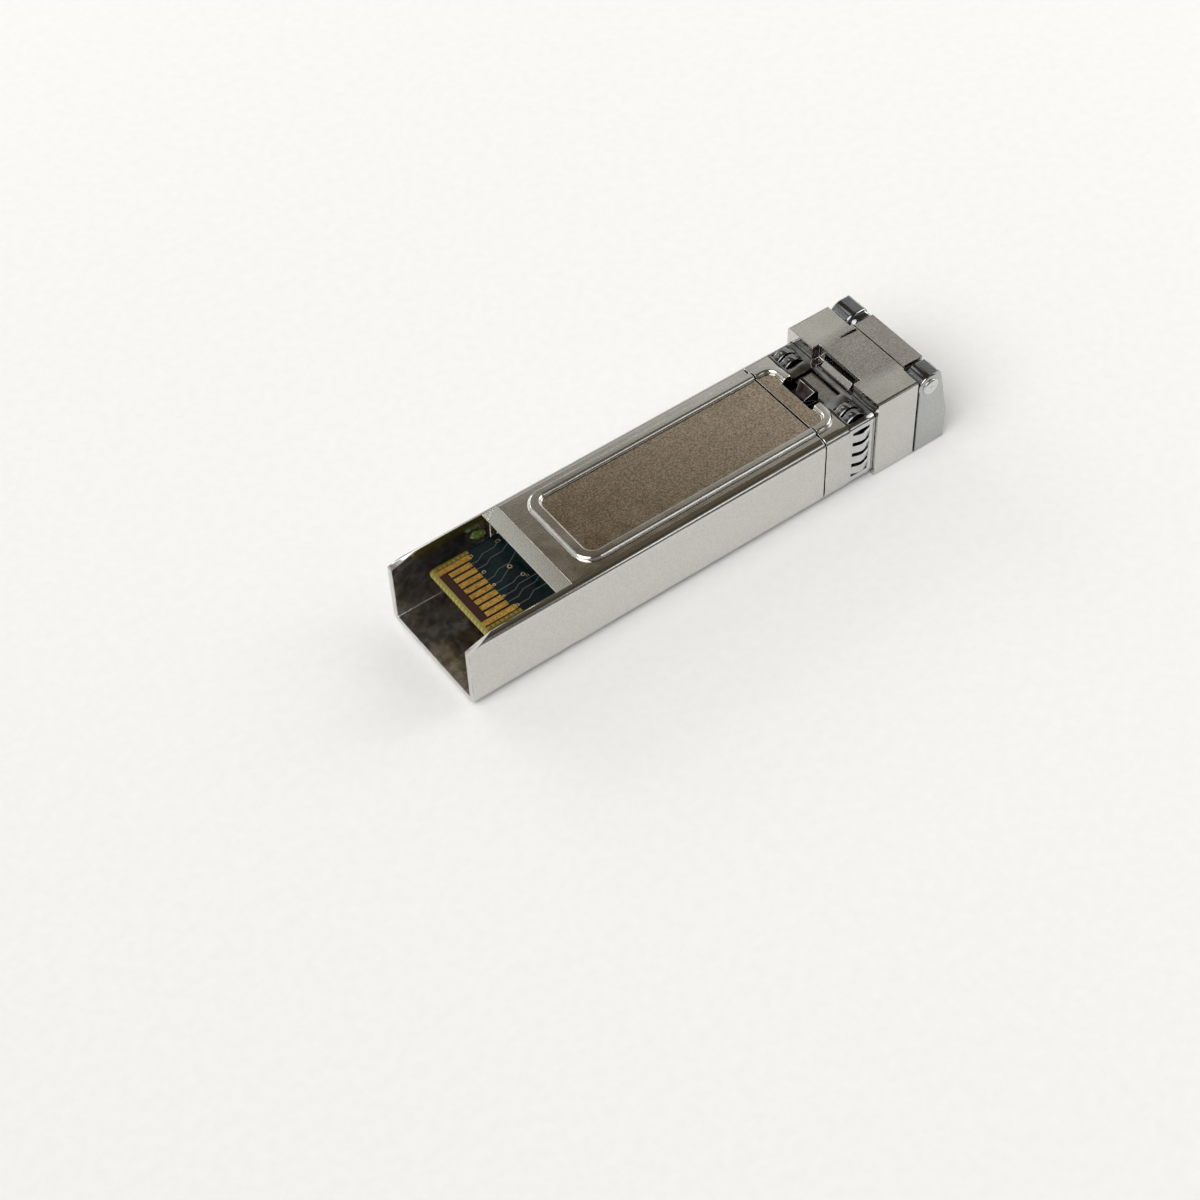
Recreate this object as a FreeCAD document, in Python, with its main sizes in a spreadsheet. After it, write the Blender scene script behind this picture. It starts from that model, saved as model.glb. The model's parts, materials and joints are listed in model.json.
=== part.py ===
import FreeCAD, Part
import math
import os
import types

import Sketcher

# Small form-factor pluggable optical transceiver, lying on its upper face with
# the latch side up. Lengths are measured forward from the rear edge of the
# shell, heights upward from the underside of the shell, all in millimetres.

DIMENSIONS = {
    # Rear shell, a thin sleeve with an open connector bay at its rear end
    "body_width": 13.4,
    "land_height": 8.1,
    "edge_round": 0.9,
    "shell_length": 41.15,
    "side_wall": 0.7,
    "floor_wall": 0.7,
    "roof_wall": 0.7,
    "bay_length": 10.9,
    "bulkhead_thickness": 1.2,
    "lip_reach": 0.45,
    "lip_drop": 0.9,
    "lip_edge": 0.15,
    "shoulder_run": 1.45,
    "skirt_ramp_length": 3.0,
    "skirt_ramp_drop": 0.9,
    "ledge_width": 0.9,
    "ledge_thickness": 0.95,
    "ledge_setback": 0.6,
    # Raised bead that frames the label area on shell and nose
    "bead_rear": 13.9,
    "bead_rear_width": 1.3,
    "bead_outer_width": 10.4,
    "bead_width": 1.0,
    "bead_rise": 0.4,
    "bead_bevel": 0.2,
    "bead_outer_corner": 2.0,
    "bead_inner_corner": 1.0,
    # Nose housing: spigot, neck, collar seat and head
    "seam_gap": 0.15,
    "spigot_length": 2.0,
    "spigot_fit": 0.05,
    "spigot_wall": 0.5,
    "neck_length": 2.85,
    "collar_length": 3.25,
    "collar_seat_depth": 0.25,
    "seat_round": 0.5,
    "head_length": 7.8,
    "head_overhang": 0.18,
    "head_rise": 1.4,
    "head_drop": 0.3,
    "head_round": 0.3,
    "head_roof": 0.6,
    "head_notch_width": 6.2,
    "head_notch_depth": 0.9,
    "relief_place": 2.4,
    "relief_width": 0.3,
    "relief_length": 2.1,
    "relief_depth": 0.4,
    # Fibre ports in the head
    "port_pitch": 6.25,
    "port_size": 4.65,
    "port_depth": 9.3,
    "port_wall": 1.4,
    "axis_depth": 4.3,
    "latch_slot_width": 2.4,
    "latch_slot_web": 0.575,
    "latch_slot_length": 6.6,
    "keeper_width": 3.9,
    "keeper_step": 0.25,
    "keeper_lip": 2.6,
    # Bail with its knuckles, cam shaft and eccentric bush
    "pivot_setback": 1.2,
    "pivot_sink": 0.05,
    "knuckle_radius": 1.4,
    "knuckle_width": 1.5,
    "knuckle_nose_bevel": 0.35,
    "arm_thickness": 0.75,
    "arm_inset": 0.03,
    "arm_reach": 2.5,
    "arm_break": 3.5,
    "bail_fit": 0.1,
    "bail_gap": 0.25,
    "bail_round": 0.2,
    "crossbar_depth": 1.9,
    "crossbar_thickness": 0.5,
    "crossbar_gap": 0.2,
    "shaft_radius": 0.45,
    "shaft_fit": 0.03,
    "rivet_radius": 0.95,
    "rivet_rise": 0.15,
    "rivet_bevel": 0.1,
    "cam_radius": 0.95,
    "cam_throw": 0.346,
    "cam_gap": 0.05,
    "cam_floor_gap": 0.354,
    "cam_side_gap": 0.2,
    # Latch lever in its channel
    "lever_width": 4.2,
    "lever_side_gap": 0.15,
    "lever_rear_gap": 0.3,
    "lever_sink": 1.1,
    "lever_plate": 0.6,
    "lever_bar": 1.2,
    "lever_bar_setback": 0.8,
    "lever_pivot_setback": 2.2,
    "lever_pivot_rise": 0.6,
    "lever_hub_radius": 0.9,
    "lever_hole_setback": 1.6,
    "lever_room": 0.8,
    "tail_setback": 0.25,
    "tail_width": 2.6,
    "boss_setback": 0.45,
    "boss_rise": 0.25,
    "boss_width": 2.6,
    "boss_tip_width": 1.2,
    "pad_near_gap": 0.4,
    "pad_far_gap": 1.4,
    "pad_web": 0.4,
    "pad_rake": 0.1,
    "pad_gap": 0.2,
    "pad_front_gap": 0.05,
    "pad_sink": 0.05,
    "pad_fit": 0.1,
    "pin_radius": 0.5,
    "pin_fit": 0.03,
    "pin_grip": 1.2,
    "pin_recess": 0.25,
    "leaf_thickness": 0.12,
    "leaf_width": 2.4,
    "leaf_span": 1.9,
    "leaf_gap": 0.05,
    # Shielding collar
    "collar_sheet": 0.15,
    "collar_side_gap": 0.05,
    "collar_front_band": 0.7,
    "collar_rear_band": 0.4,
    "finger_crest": 0.55,
    "base_finger_crest": 0.36,
    "finger_width": 1.2,
    "finger_pitch": 1.45,
    "side_finger_count": 4,
    "top_finger_count": 2,
    "base_finger_count": 7,
    "side_finger_start": 1.42,
    "top_finger_start": 3.7,
    "top_finger_width": 0.9,
    "top_finger_pitch": 1.15,
    # Circuit board and its edge contacts
    "board_rear": 3.2,
    "board_depth": 1.85,
    "board_thickness": 1.0,
    "board_width": 10.9,
    "tongue_width": 9.2,
    "tongue_clearance": 0.4,
    "board_fit": 0.15,
    "tongue_bevel": 0.3,
    "contact_pitch": 0.83,
    "contact_width": 0.6,
    "contact_thickness": 0.05,
    "contact_count": 10,
    "contact_inner_start": 1.15,
    "contact_inner_end": 3.55,
    "contact_outer_start": 0.3,
    "contact_outer_end": 3.95,
    # Transmitter and receiver assemblies
    "nozzle_radius": 1.25,
    "nozzle_length": 5.2,
    "nozzle_fit": 0.1,
    "nozzle_chamfer": 0.2,
    "sleeve_radius": 0.9,
    "sleeve_bore": 0.635,
    "sleeve_length": 3.1,
    "sleeve_recess": 0.25,
    "stub_bore": 0.3,
    "flange_radius": 1.9,
    "flange_length": 0.6,
    "groove_radius": 1.45,
    "groove_length": 0.8,
    "barrel_radius": 2.0,
    "barrel_length": 3.8,
    "can_radius": 1.9,
    "can_length": 2.8,
    "can_round": 0.4,
    "header_radius": 2.2,
    "header_length": 0.8,
    "lead_size": 0.4,
    "lead_length": 1.2,
    "lead_circle": 1.27,
    "flex_thickness": 0.15,
    "flex_width": 3.6,
    "flex_drop": 3.4,
    "flex_lap": 2.6,
    "flex_bend": 0.35,
    "flex_reach": 0.85,
    "gasket_thickness": 0.4,
    "retainer_gap": 0.05,
    "insert_margin": 0.15,
    # Components on the board
    "chip_size": 4.0,
    "chip_thickness": 0.85,
    "chip_setback": 6.5,
    "chip_spread": 5.4,
    "controller_size": 5.0,
    "controller_thickness": 0.9,
    "controller_setback": 13.5,
    "heat_pad_gap": 0.05,
    "capacitor_length": 1.0,
    "capacitor_width": 0.5,
    "capacitor_height": 0.5,
    "capacitor_setback": 11.5,
    "capacitor_pitch": 1.2,
    "capacitor_count": 7,
    "resistor_length": 1.0,
    "resistor_width": 0.5,
    "resistor_height": 0.35,
    "resistor_setback": 2.6,
    "resistor_pitch": 1.2,
    "resistor_count": 6,
    # How far a cutting profile runs past the face that it opens
    "cut_margin": 1.0,
}

doc = FreeCAD.newDocument("optical_transceiver")
sheet = doc.addObject("Spreadsheet::Sheet", "dims")
for row, (name, number) in enumerate(DIMENSIONS.items(), start=1):
    sheet.set(f"A{row}", name)
    sheet.set(f"B{row}", str(number))
    sheet.setAlias(f"B{row}", name)
doc.recompute()


class Size:
    """A length that carries its number and the expression that binds it to the sheet."""

    def __init__(self, value, text):
        self.value = value
        self.text = text

    def __add__(self, other):
        other = as_size(other)
        return Size(self.value + other.value, f"({self.text} + {other.text})")

    def __sub__(self, other):
        other = as_size(other)
        return Size(self.value - other.value, f"({self.text} - {other.text})")

    def __mul__(self, other):
        other = as_size(other)
        return Size(self.value * other.value, f"({self.text} * {other.text})")

    def __truediv__(self, other):
        other = as_size(other)
        return Size(self.value / other.value, f"({self.text} / {other.text})")

    def __neg__(self):
        return Size(-self.value, f"(-{self.text})")


def as_size(item):
    return item if isinstance(item, Size) else Size(float(item), str(item))


d = types.SimpleNamespace()
for name in DIMENSIONS:
    setattr(d, name, Size(float(sheet.get(name)), f"dims.{name}"))
ZERO = as_size(0)
DIAGONAL = Size(0.5 ** 0.5, "sqrt(0.5)")

# Derived places along the module
half_width = d.body_width / 2
inner_half = half_width - d.side_wall
bulkhead_front = d.bay_length + d.bulkhead_thickness
lip_rear = d.bay_length - d.lip_reach
nose_rear = d.shell_length + d.seam_gap
collar_rear = nose_rear + d.neck_length
head_rear = collar_rear + d.collar_length
head_front = head_rear + d.head_length
pivot_place = head_front - d.pivot_setback
overall_length = pivot_place + d.arm_reach
port_rear = head_front - d.port_depth
port_half = d.port_size / 2
wall_rear = port_rear - d.port_wall
flange_front = wall_rear - d.gasket_thickness
flange_rear = flange_front - d.flange_length
groove_rear = flange_rear - d.groove_length
barrel_rear = groove_rear - d.barrel_length
header_front = barrel_rear - d.can_length
header_rear = header_front - d.header_length
lead_rear = header_rear - d.lead_length
flex_rear = lead_rear - d.flex_thickness
board_front = flex_rear - d.flex_reach
chip_place = board_front - d.chip_setback
controller_place = board_front - d.controller_setback
lever_hole_rear = nose_rear + d.lever_hole_setback
lever_pivot_place = head_rear + d.lever_pivot_setback
lever_bar_rear = head_rear + d.lever_bar_setback
boss_front = collar_rear + d.boss_setback
tail_front = collar_rear + d.tail_setback

# Derived heights, all counted down from the land on the latch side
head_top = d.land_height + d.head_rise
roof_base = head_top - d.head_roof
lip_base = d.land_height - d.lip_drop
board_top = d.land_height - d.board_depth
board_base = board_top - d.board_thickness
axis_height = d.land_height - d.axis_depth
port_low = axis_height - port_half
slot_floor = d.latch_slot_web - d.head_drop
keeper_floor = slot_floor + d.keeper_step
seat_top = d.land_height - d.collar_seat_depth
pivot_height = d.land_height - d.pivot_sink
lever_base = d.land_height - d.lever_sink
lever_pivot_height = lever_base + d.lever_pivot_rise
channel_floor = pivot_height - d.cam_throw - d.cam_radius - d.cam_floor_gap
channel_half = d.lever_width / 2 + d.lever_side_gap

# Derived places round the bail and the lever's pad
head_half = half_width + d.head_overhang
arm_outer = head_half - d.arm_inset
arm_inner = arm_outer - d.arm_thickness
knuckle_inner = arm_inner - d.knuckle_width
knuckle_top = pivot_height + d.knuckle_radius
knuckle_front = pivot_place + d.knuckle_radius
knuckle_rear = pivot_place - d.knuckle_radius
front_wall_half = arm_inner - d.bail_fit
tongue_half = knuckle_inner - d.bail_fit
notch_rear = knuckle_rear - d.bail_gap
notch_floor = pivot_height - d.knuckle_radius - d.bail_fit
cam_shift = d.cam_throw * DIAGONAL
pad_base = pivot_height - cam_shift + d.cam_radius + d.cam_gap
pad_top = head_top - d.pad_sink
pad_rear = pivot_place + cam_shift - d.cam_radius - d.cam_gap * 2 - d.pad_web
pad_far = knuckle_inner - d.pad_far_gap
pad_near = knuckle_inner - d.pad_near_gap
far_wall = pad_far + d.pad_fit
roof_front = pad_rear - d.pad_gap
bead_outer = d.bead_outer_width / 2
bead_inner = bead_outer - d.bead_width


def bind(item, path, size):
    item.setExpression(path, size.text)


def new_body(label, across=ZERO, up=ZERO):
    """A body whose own origin lies on the shell's rear edge and underside."""
    body = doc.addObject("PartDesign::Body", label)
    body.Label = label
    bind(body, "Placement.Base.x", -overall_length / 2)
    bind(body, "Placement.Base.y", across)
    bind(body, "Placement.Base.z", d.head_drop + up)
    return body


def new_sketch(body, plane, at):
    """A sketch parallel to an origin plane; XZ sketches look back along Y."""
    sketch = body.newObject("Sketcher::SketchObject", "profile")
    support = next(item for item in body.Origin.OriginFeatures if item.Role == plane)
    sketch.AttachmentSupport = [(support, "")]
    sketch.MapMode = "FlatFace"
    bind(sketch, "AttachmentOffset.Base.z", -at if plane == "XZ_Plane" else at)
    return sketch


def place_point(sketch, curve, end, across, up):
    for kind, size in (("DistanceX", across), ("DistanceY", up)):
        index = sketch.addConstraint(Sketcher.Constraint(kind, -1, 1, curve, end, size.value))
        bind(sketch, f"Constraints[{index}]", size)


def set_radius(sketch, curve, radius):
    index = sketch.addConstraint(Sketcher.Constraint("Radius", curve, radius.value))
    bind(sketch, f"Constraints[{index}]", radius)


def outline(sketch, corners):
    """A closed outline of straight lines through the given corners."""
    corners = [(as_size(across), as_size(up)) for across, up in corners]
    count = len(corners)
    first = sketch.GeometryCount
    points = [FreeCAD.Vector(across.value, up.value, 0) for across, up in corners]
    for index in range(count):
        sketch.addGeometry(Part.LineSegment(points[index], points[(index + 1) % count]), False)
    for index in range(count):
        follower = first + (index + 1) % count
        sketch.addConstraint(Sketcher.Constraint("Coincident", first + index, 2, follower, 1))
    for index, (across, up) in enumerate(corners):
        place_point(sketch, first + index, 1, across, up)
    return sketch


def rectangle(sketch, left, right, low, high):
    return outline(sketch, [(left, low), (right, low), (right, high), (left, high)])


def rounded_rectangle(sketch, left, right, low, high, radius):
    """A rectangle with four equal corner arcs."""
    first = sketch.GeometryCount
    centres = [
        (right - radius, low + radius),
        (right - radius, high - radius),
        (left + radius, high - radius),
        (left + radius, low + radius),
    ]
    quarter = math.pi / 2
    for index, (across, up) in enumerate(centres):
        centre = FreeCAD.Vector(across.value, up.value, 0)
        circle = Part.Circle(centre, FreeCAD.Vector(0, 0, 1), radius.value)
        start = (index - 1) * quarter
        sketch.addGeometry(Part.ArcOfCircle(circle, start, start + quarter), False)
    for index in range(4):
        begin = sketch.getPoint(first + index, 2)
        finish = sketch.getPoint(first + (index + 1) % 4, 1)
        sketch.addGeometry(Part.LineSegment(begin, finish), False)
    for index in range(4):
        line = first + 4 + index
        sketch.addConstraint(Sketcher.Constraint("Tangent", first + index, 2, line, 1))
        sketch.addConstraint(Sketcher.Constraint("Tangent", line, 2, first + (index + 1) % 4, 1))
    for index, (across, up) in enumerate(centres):
        place_point(sketch, first + index, 3, across, up)
        set_radius(sketch, first + index, radius)
    return sketch


def circle(sketch, across, up, radius):
    centre = FreeCAD.Vector(across.value, up.value, 0)
    curve = sketch.addGeometry(Part.Circle(centre, FreeCAD.Vector(0, 0, 1), radius.value), False)
    place_point(sketch, curve, 3, across, up)
    set_radius(sketch, curve, radius)
    return sketch


def arched_strip(sketch, start, finish, foot, crest, thickness, side):
    """A bowed strip between two places, made of two arcs and two short ends."""
    span = finish - start
    edges = []
    for base, rise in ((foot, crest), (foot + thickness, crest)):
        radius = (span * span / 4 + rise * rise) / (rise * 2)
        left = FreeCAD.Vector(start.value, side * base.value, 0)
        right = FreeCAD.Vector(finish.value, side * base.value, 0)
        middle = FreeCAD.Vector((start.value + finish.value) / 2, side * (base + rise).value, 0)
        curve = sketch.addGeometry(Part.Arc(left, middle, right), False)
        ends = {}
        for end in (1, 2):
            point = sketch.getPoint(curve, end)
            is_left = (point - left).Length < (point - right).Length
            ends["left" if is_left else "right"] = end
        height = base if side > 0 else -base
        place_point(sketch, curve, ends["left"], start, height)
        place_point(sketch, curve, ends["right"], finish, height)
        set_radius(sketch, curve, radius)
        edges.append((curve, ends))
    for key in ("left", "right"):
        low, low_ends = edges[0]
        high, high_ends = edges[1]
        begin = sketch.getPoint(low, low_ends[key])
        finish_point = sketch.getPoint(high, high_ends[key])
        line = sketch.addGeometry(Part.LineSegment(begin, finish_point), False)
        sketch.addConstraint(Sketcher.Constraint("Coincident", line, 1, low, low_ends[key]))
        sketch.addConstraint(Sketcher.Constraint("Coincident", line, 2, high, high_ends[key]))
    return sketch


def pad(body, sketch, length, symmetric=False):
    feature = body.newObject("PartDesign::Pad", "pad")
    feature.Profile = sketch
    bind(feature, "Length", length)
    if symmetric:
        feature.SideType = "Symmetric"
    body.Tip = feature
    doc.recompute()
    return feature


def pocket(body, sketch, length, symmetric=False):
    """A cut that runs the same way as a pad from the same sketch would."""
    before = body.Shape.Volume
    feature = body.newObject("PartDesign::Pocket", "pocket")
    feature.Profile = sketch
    bind(feature, "Length", length)
    feature.Reversed = True
    if symmetric:
        feature.SideType = "Symmetric"
    body.Tip = feature
    doc.recompute()
    if body.Shape.Volume >= before:
        raise RuntimeError(f"{body.Label}: a pocket removed nothing")
    return feature


def repeat(body, feature, axis, pitch, count, reverse=False):
    pattern = body.newObject("PartDesign::LinearPattern", "pattern")
    pattern.Originals = [feature]
    support = next(item for item in body.Origin.OriginFeatures if item.Role == axis)
    pattern.Direction = (support, [""])
    pattern.Reversed = reverse
    pattern.Mode = "Spacing"
    bind(pattern, "Offset", pitch)
    bind(pattern, "Occurrences", count)
    body.Tip = pattern
    doc.recompute()
    return pattern


def dress(body, kind, size, wanted):
    """A fillet or chamfer on the edges of the body's tip that are wanted."""
    base = body.Tip
    names = [f"Edge{index}" for index, edge in enumerate(base.Shape.Edges, start=1) if wanted(edge)]
    if not names:
        raise RuntimeError(f"{body.Label}: no edge found for a {kind}")
    feature = body.newObject(f"PartDesign::{kind}", kind.lower())
    feature.Base = (base, names)
    bind(feature, "Radius" if kind == "Fillet" else "Size", size)
    body.Tip = feature
    doc.recompute()
    return feature


def revolve(body, sketch, axis):
    feature = body.newObject("PartDesign::Revolution", "revolution")
    feature.Profile = sketch
    support = next(item for item in body.Origin.OriginFeatures if item.Role == axis)
    feature.ReferenceAxis = (support, [""])
    feature.Angle = 360
    body.Tip = feature
    doc.recompute()
    return feature


def near(first, second):
    return abs(first - second.value) < 1e-6


def runs_along(edge, axis):
    box = edge.BoundBox
    spans = {"X": box.XLength, "Y": box.YLength, "Z": box.ZLength}
    return all(spans[name] < 1e-6 for name in spans if name != axis) and spans[axis] > 1e-6


def upright_at(across, half):
    def wanted(edge):
        centre = edge.BoundBox.Center
        return runs_along(edge, "Z") and near(centre.x, across) and near(abs(centre.y), half)
    return wanted


# Rear shell
shell = new_body("rear_shell")
section = new_sketch(shell, "YZ_Plane", ZERO)
rounded_rectangle(section, -half_width, half_width, ZERO, d.land_height, d.edge_round)
pad(shell, section, d.shell_length)
cavity = new_sketch(shell, "YZ_Plane", bulkhead_front)
rectangle(cavity, -inner_half, inner_half, d.floor_wall, d.land_height - d.roof_wall)
pocket(shell, cavity, d.shell_length - bulkhead_front)
bay = new_sketch(shell, "YZ_Plane", ZERO)
rectangle(bay, -inner_half, inner_half, d.floor_wall, d.land_height + d.cut_margin)
pocket(shell, bay, lip_rear)
under_lip = new_sketch(shell, "YZ_Plane", lip_rear)
rectangle(under_lip, -inner_half, inner_half, d.floor_wall, lip_base)
pocket(shell, under_lip, d.lip_reach)
shoulder = new_sketch(shell, "XZ_Plane", ZERO)
outline(shoulder, [
    (lip_rear, lip_base + d.lip_edge),
    (lip_rear + d.shoulder_run, d.land_height),
    (lip_rear, d.land_height),
])
pocket(shell, shoulder, inner_half * 2, symmetric=True)
slot_half = d.tongue_width / 2 + d.board_fit
slot = new_sketch(shell, "YZ_Plane", d.bay_length)
rectangle(slot, -slot_half, slot_half, board_base - d.board_fit, board_top + d.board_fit)
pocket(shell, slot, d.bulkhead_thickness)
ledges = new_sketch(shell, "YZ_Plane", bulkhead_front)
for side in (-1, 1):
    edges = sorted([inner_half * side, (inner_half - d.ledge_width) * side], key=lambda size: size.value)
    rectangle(ledges, edges[0], edges[1], board_base - d.ledge_thickness, board_base)
pad(shell, ledges, board_front - d.ledge_setback - bulkhead_front)
ramp = new_sketch(shell, "XZ_Plane", half_width)
outline(ramp, [
    (ZERO, d.land_height - d.skirt_ramp_drop),
    (d.skirt_ramp_length, d.land_height),
    (ZERO, d.land_height),
])
pocket(shell, ramp, d.body_width)

# Bead frame on the shell, open towards the nose
bead_inside = d.bead_rear + d.bead_rear_width
bead_top = d.land_height + d.bead_rise
frame = new_sketch(shell, "XY_Plane", d.land_height)
outline(frame, [
    (d.shell_length, -bead_outer),
    (d.shell_length, -bead_inner),
    (bead_inside, -bead_inner),
    (bead_inside, bead_inner),
    (d.shell_length, bead_inner),
    (d.shell_length, bead_outer),
    (d.bead_rear, bead_outer),
    (d.bead_rear, -bead_outer),
])
pad(shell, frame, d.bead_rise)
dress(shell, "Fillet", d.bead_outer_corner, upright_at(d.bead_rear, bead_outer))
dress(shell, "Fillet", d.bead_inner_corner, upright_at(bead_inside, bead_inner))


def on_bead_top(edge):
    box = edge.BoundBox
    flat = box.ZLength < 1e-6 and near(box.ZMax, bead_top)
    return flat and not (box.XLength < 1e-6 and near(box.XMax, d.shell_length))


dress(shell, "Chamfer", d.bead_bevel, on_bead_top)

# Nose housing: the outer forms
nose = new_body("nose_housing")
neck = new_sketch(nose, "YZ_Plane", nose_rear)
rounded_rectangle(neck, -half_width, half_width, ZERO, d.land_height, d.edge_round)
pad(nose, neck, d.neck_length)
spigot_half = inner_half - d.spigot_fit
spigot_rear = nose_rear - d.spigot_length
spigot_low = d.floor_wall + d.spigot_fit
spigot_high = d.land_height - d.roof_wall - d.spigot_fit
spigot = new_sketch(nose, "YZ_Plane", spigot_rear)
rectangle(spigot, -spigot_half, spigot_half, spigot_low, spigot_high)
pad(nose, spigot, d.spigot_length)
seat_half = half_width - d.collar_seat_depth
seat = new_sketch(nose, "YZ_Plane", collar_rear)
rounded_rectangle(seat, -seat_half, seat_half, d.collar_seat_depth, seat_top, d.seat_round)
pad(nose, seat, d.collar_length)
head = new_sketch(nose, "YZ_Plane", head_rear)
rounded_rectangle(head, -head_half, head_half, -d.head_drop, head_top, d.head_round)
pad(nose, head, d.head_length)

# Nose housing: bead ends that turn in round the latch
bead_front = collar_rear
ridges = new_sketch(nose, "XY_Plane", d.land_height)
turn_inside = bead_front - d.bead_width
for side in (-1, 1):
    outline(ridges, [
        (nose_rear, bead_outer * side),
        (bead_front, bead_outer * side),
        (bead_front, channel_half * side),
        (turn_inside, channel_half * side),
        (turn_inside, bead_inner * side),
        (nose_rear, bead_inner * side),
    ])
pad(nose, ridges, d.bead_rise)
dress(nose, "Fillet", d.bead_outer_corner, upright_at(bead_front, bead_outer))
dress(nose, "Fillet", d.bead_inner_corner, upright_at(turn_inside, bead_inner))


def on_ridge_top(edge):
    box = edge.BoundBox
    flat = box.ZLength < 1e-6 and near(box.ZMax, bead_top)
    end = near(abs(box.Center.y), channel_half) or (box.XLength < 1e-6 and near(box.XMax, nose_rear))
    return flat and not end


dress(nose, "Chamfer", d.bead_bevel, on_ridge_top)

# Nose housing: bay of the optical assemblies, nozzle holes and fibre ports
bay_half = spigot_half - d.spigot_wall
optic_bay = new_sketch(nose, "YZ_Plane", spigot_rear)
bay_low = axis_height - d.barrel_radius - d.insert_margin
bay_high = axis_height + d.barrel_radius + d.insert_margin
rectangle(optic_bay, -bay_half, bay_half, bay_low, bay_high)
pocket(nose, optic_bay, groove_rear - spigot_rear)
insert_bay = new_sketch(nose, "YZ_Plane", groove_rear)
insert_low = axis_height - d.flange_radius
insert_high = axis_height + d.flange_radius
rectangle(insert_bay, -bay_half, bay_half, insert_low - d.insert_margin, insert_high + d.insert_margin)
pocket(nose, insert_bay, wall_rear - groove_rear)
nozzle_holes = new_sketch(nose, "YZ_Plane", wall_rear)
ports = new_sketch(nose, "YZ_Plane", port_rear)
latch_slots = new_sketch(nose, "YZ_Plane", head_front - d.latch_slot_length)
keepers = new_sketch(nose, "YZ_Plane", head_front - d.latch_slot_length)
for side in (-1, 1):
    middle = d.port_pitch / 2 * side
    circle(nozzle_holes, middle, axis_height, d.nozzle_radius + d.nozzle_fit)
    rectangle(ports, middle - port_half, middle + port_half, port_low, axis_height + port_half)
    rectangle(
        latch_slots,
        middle - d.latch_slot_width / 2,
        middle + d.latch_slot_width / 2,
        slot_floor,
        port_low,
    )
    rectangle(
        keepers,
        middle - d.keeper_width / 2,
        middle + d.keeper_width / 2,
        keeper_floor,
        port_low,
    )
pocket(nose, nozzle_holes, d.port_wall)
pocket(nose, ports, d.port_depth)
pocket(nose, latch_slots, d.latch_slot_length)
pocket(nose, keepers, d.latch_slot_length - d.keeper_lip)

# Nose housing: room for the lever, open on top in the neck
pit = new_sketch(nose, "XY_Plane", lever_base - d.lever_room)
rectangle(pit, lever_hole_rear, port_rear - d.cam_gap * 2, -channel_half, channel_half)
pocket(nose, pit, d.lever_room + d.head_rise + d.cut_margin)
trough = new_sketch(nose, "XY_Plane", channel_floor)
rectangle(trough, lever_hole_rear, head_rear, -channel_half, channel_half)
pocket(nose, trough, head_top - channel_floor)
channel = new_sketch(nose, "YZ_Plane", head_rear)
rectangle(channel, -channel_half, channel_half, channel_floor, roof_base)
pocket(nose, channel, d.head_length)
notch = new_sketch(nose, "XY_Plane", seat_top)
notch_half = d.head_notch_width / 2
rectangle(notch, head_rear, head_rear + d.head_notch_depth, -notch_half, notch_half)
pocket(nose, notch, head_top - seat_top)
relief = new_sketch(nose, "XY_Plane", head_top - d.relief_depth)
rectangle(relief, roof_front - d.relief_length, roof_front, d.relief_place, d.relief_place + d.relief_width)
pocket(nose, relief, d.relief_depth)

# Nose housing: room for the bail, the lever's pad and the pins
far_room = new_sketch(nose, "XZ_Plane", head_half + d.cut_margin)
rectangle(far_room, notch_rear, head_front + d.cut_margin, notch_floor, head_top + d.cut_margin)
pocket(nose, far_room, head_half + d.cut_margin - far_wall)
near_room = new_sketch(nose, "XZ_Plane", -tongue_half)
rectangle(near_room, notch_rear, head_front + d.cut_margin, notch_floor, head_top + d.cut_margin)
pocket(nose, near_room, head_half + d.cut_margin - tongue_half)
for start in (head_half + d.cut_margin, -front_wall_half):
    arm_room = new_sketch(nose, "XZ_Plane", start)
    rectangle(
        arm_room,
        notch_rear,
        head_front + d.cut_margin,
        -d.head_drop - d.cut_margin,
        head_top + d.cut_margin,
    )
    pocket(nose, arm_room, head_half + d.cut_margin - front_wall_half)
pad_room = new_sketch(nose, "XZ_Plane", ZERO)
rectangle(pad_room, roof_front, head_front + d.cut_margin, pad_base - d.pad_fit, head_top + d.cut_margin)
pocket(nose, pad_room, tongue_half * 2 + d.cut_margin, symmetric=True)
crossbar_rear = overall_length - d.crossbar_depth
crossbar_top = d.crossbar_thickness - d.head_drop
bar_room = new_sketch(nose, "XZ_Plane", ZERO)
rectangle(
    bar_room,
    crossbar_rear - d.crossbar_gap,
    head_front + d.cut_margin,
    -d.head_drop - d.cut_margin,
    crossbar_top + d.crossbar_gap,
)
pocket(nose, bar_room, head_half * 2 + d.cut_margin, symmetric=True)
shaft_hole = new_sketch(nose, "XZ_Plane", ZERO)
circle(shaft_hole, pivot_place, pivot_height, d.shaft_radius + d.shaft_fit)
pocket(nose, shaft_hole, tongue_half * 2 + d.cut_margin, symmetric=True)
pin_near = channel_half + d.pin_grip
pin_hole = new_sketch(nose, "XZ_Plane", head_half)
circle(pin_hole, lever_pivot_place, lever_pivot_height, d.pin_radius)
pocket(nose, pin_hole, head_half + pin_near)

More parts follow.
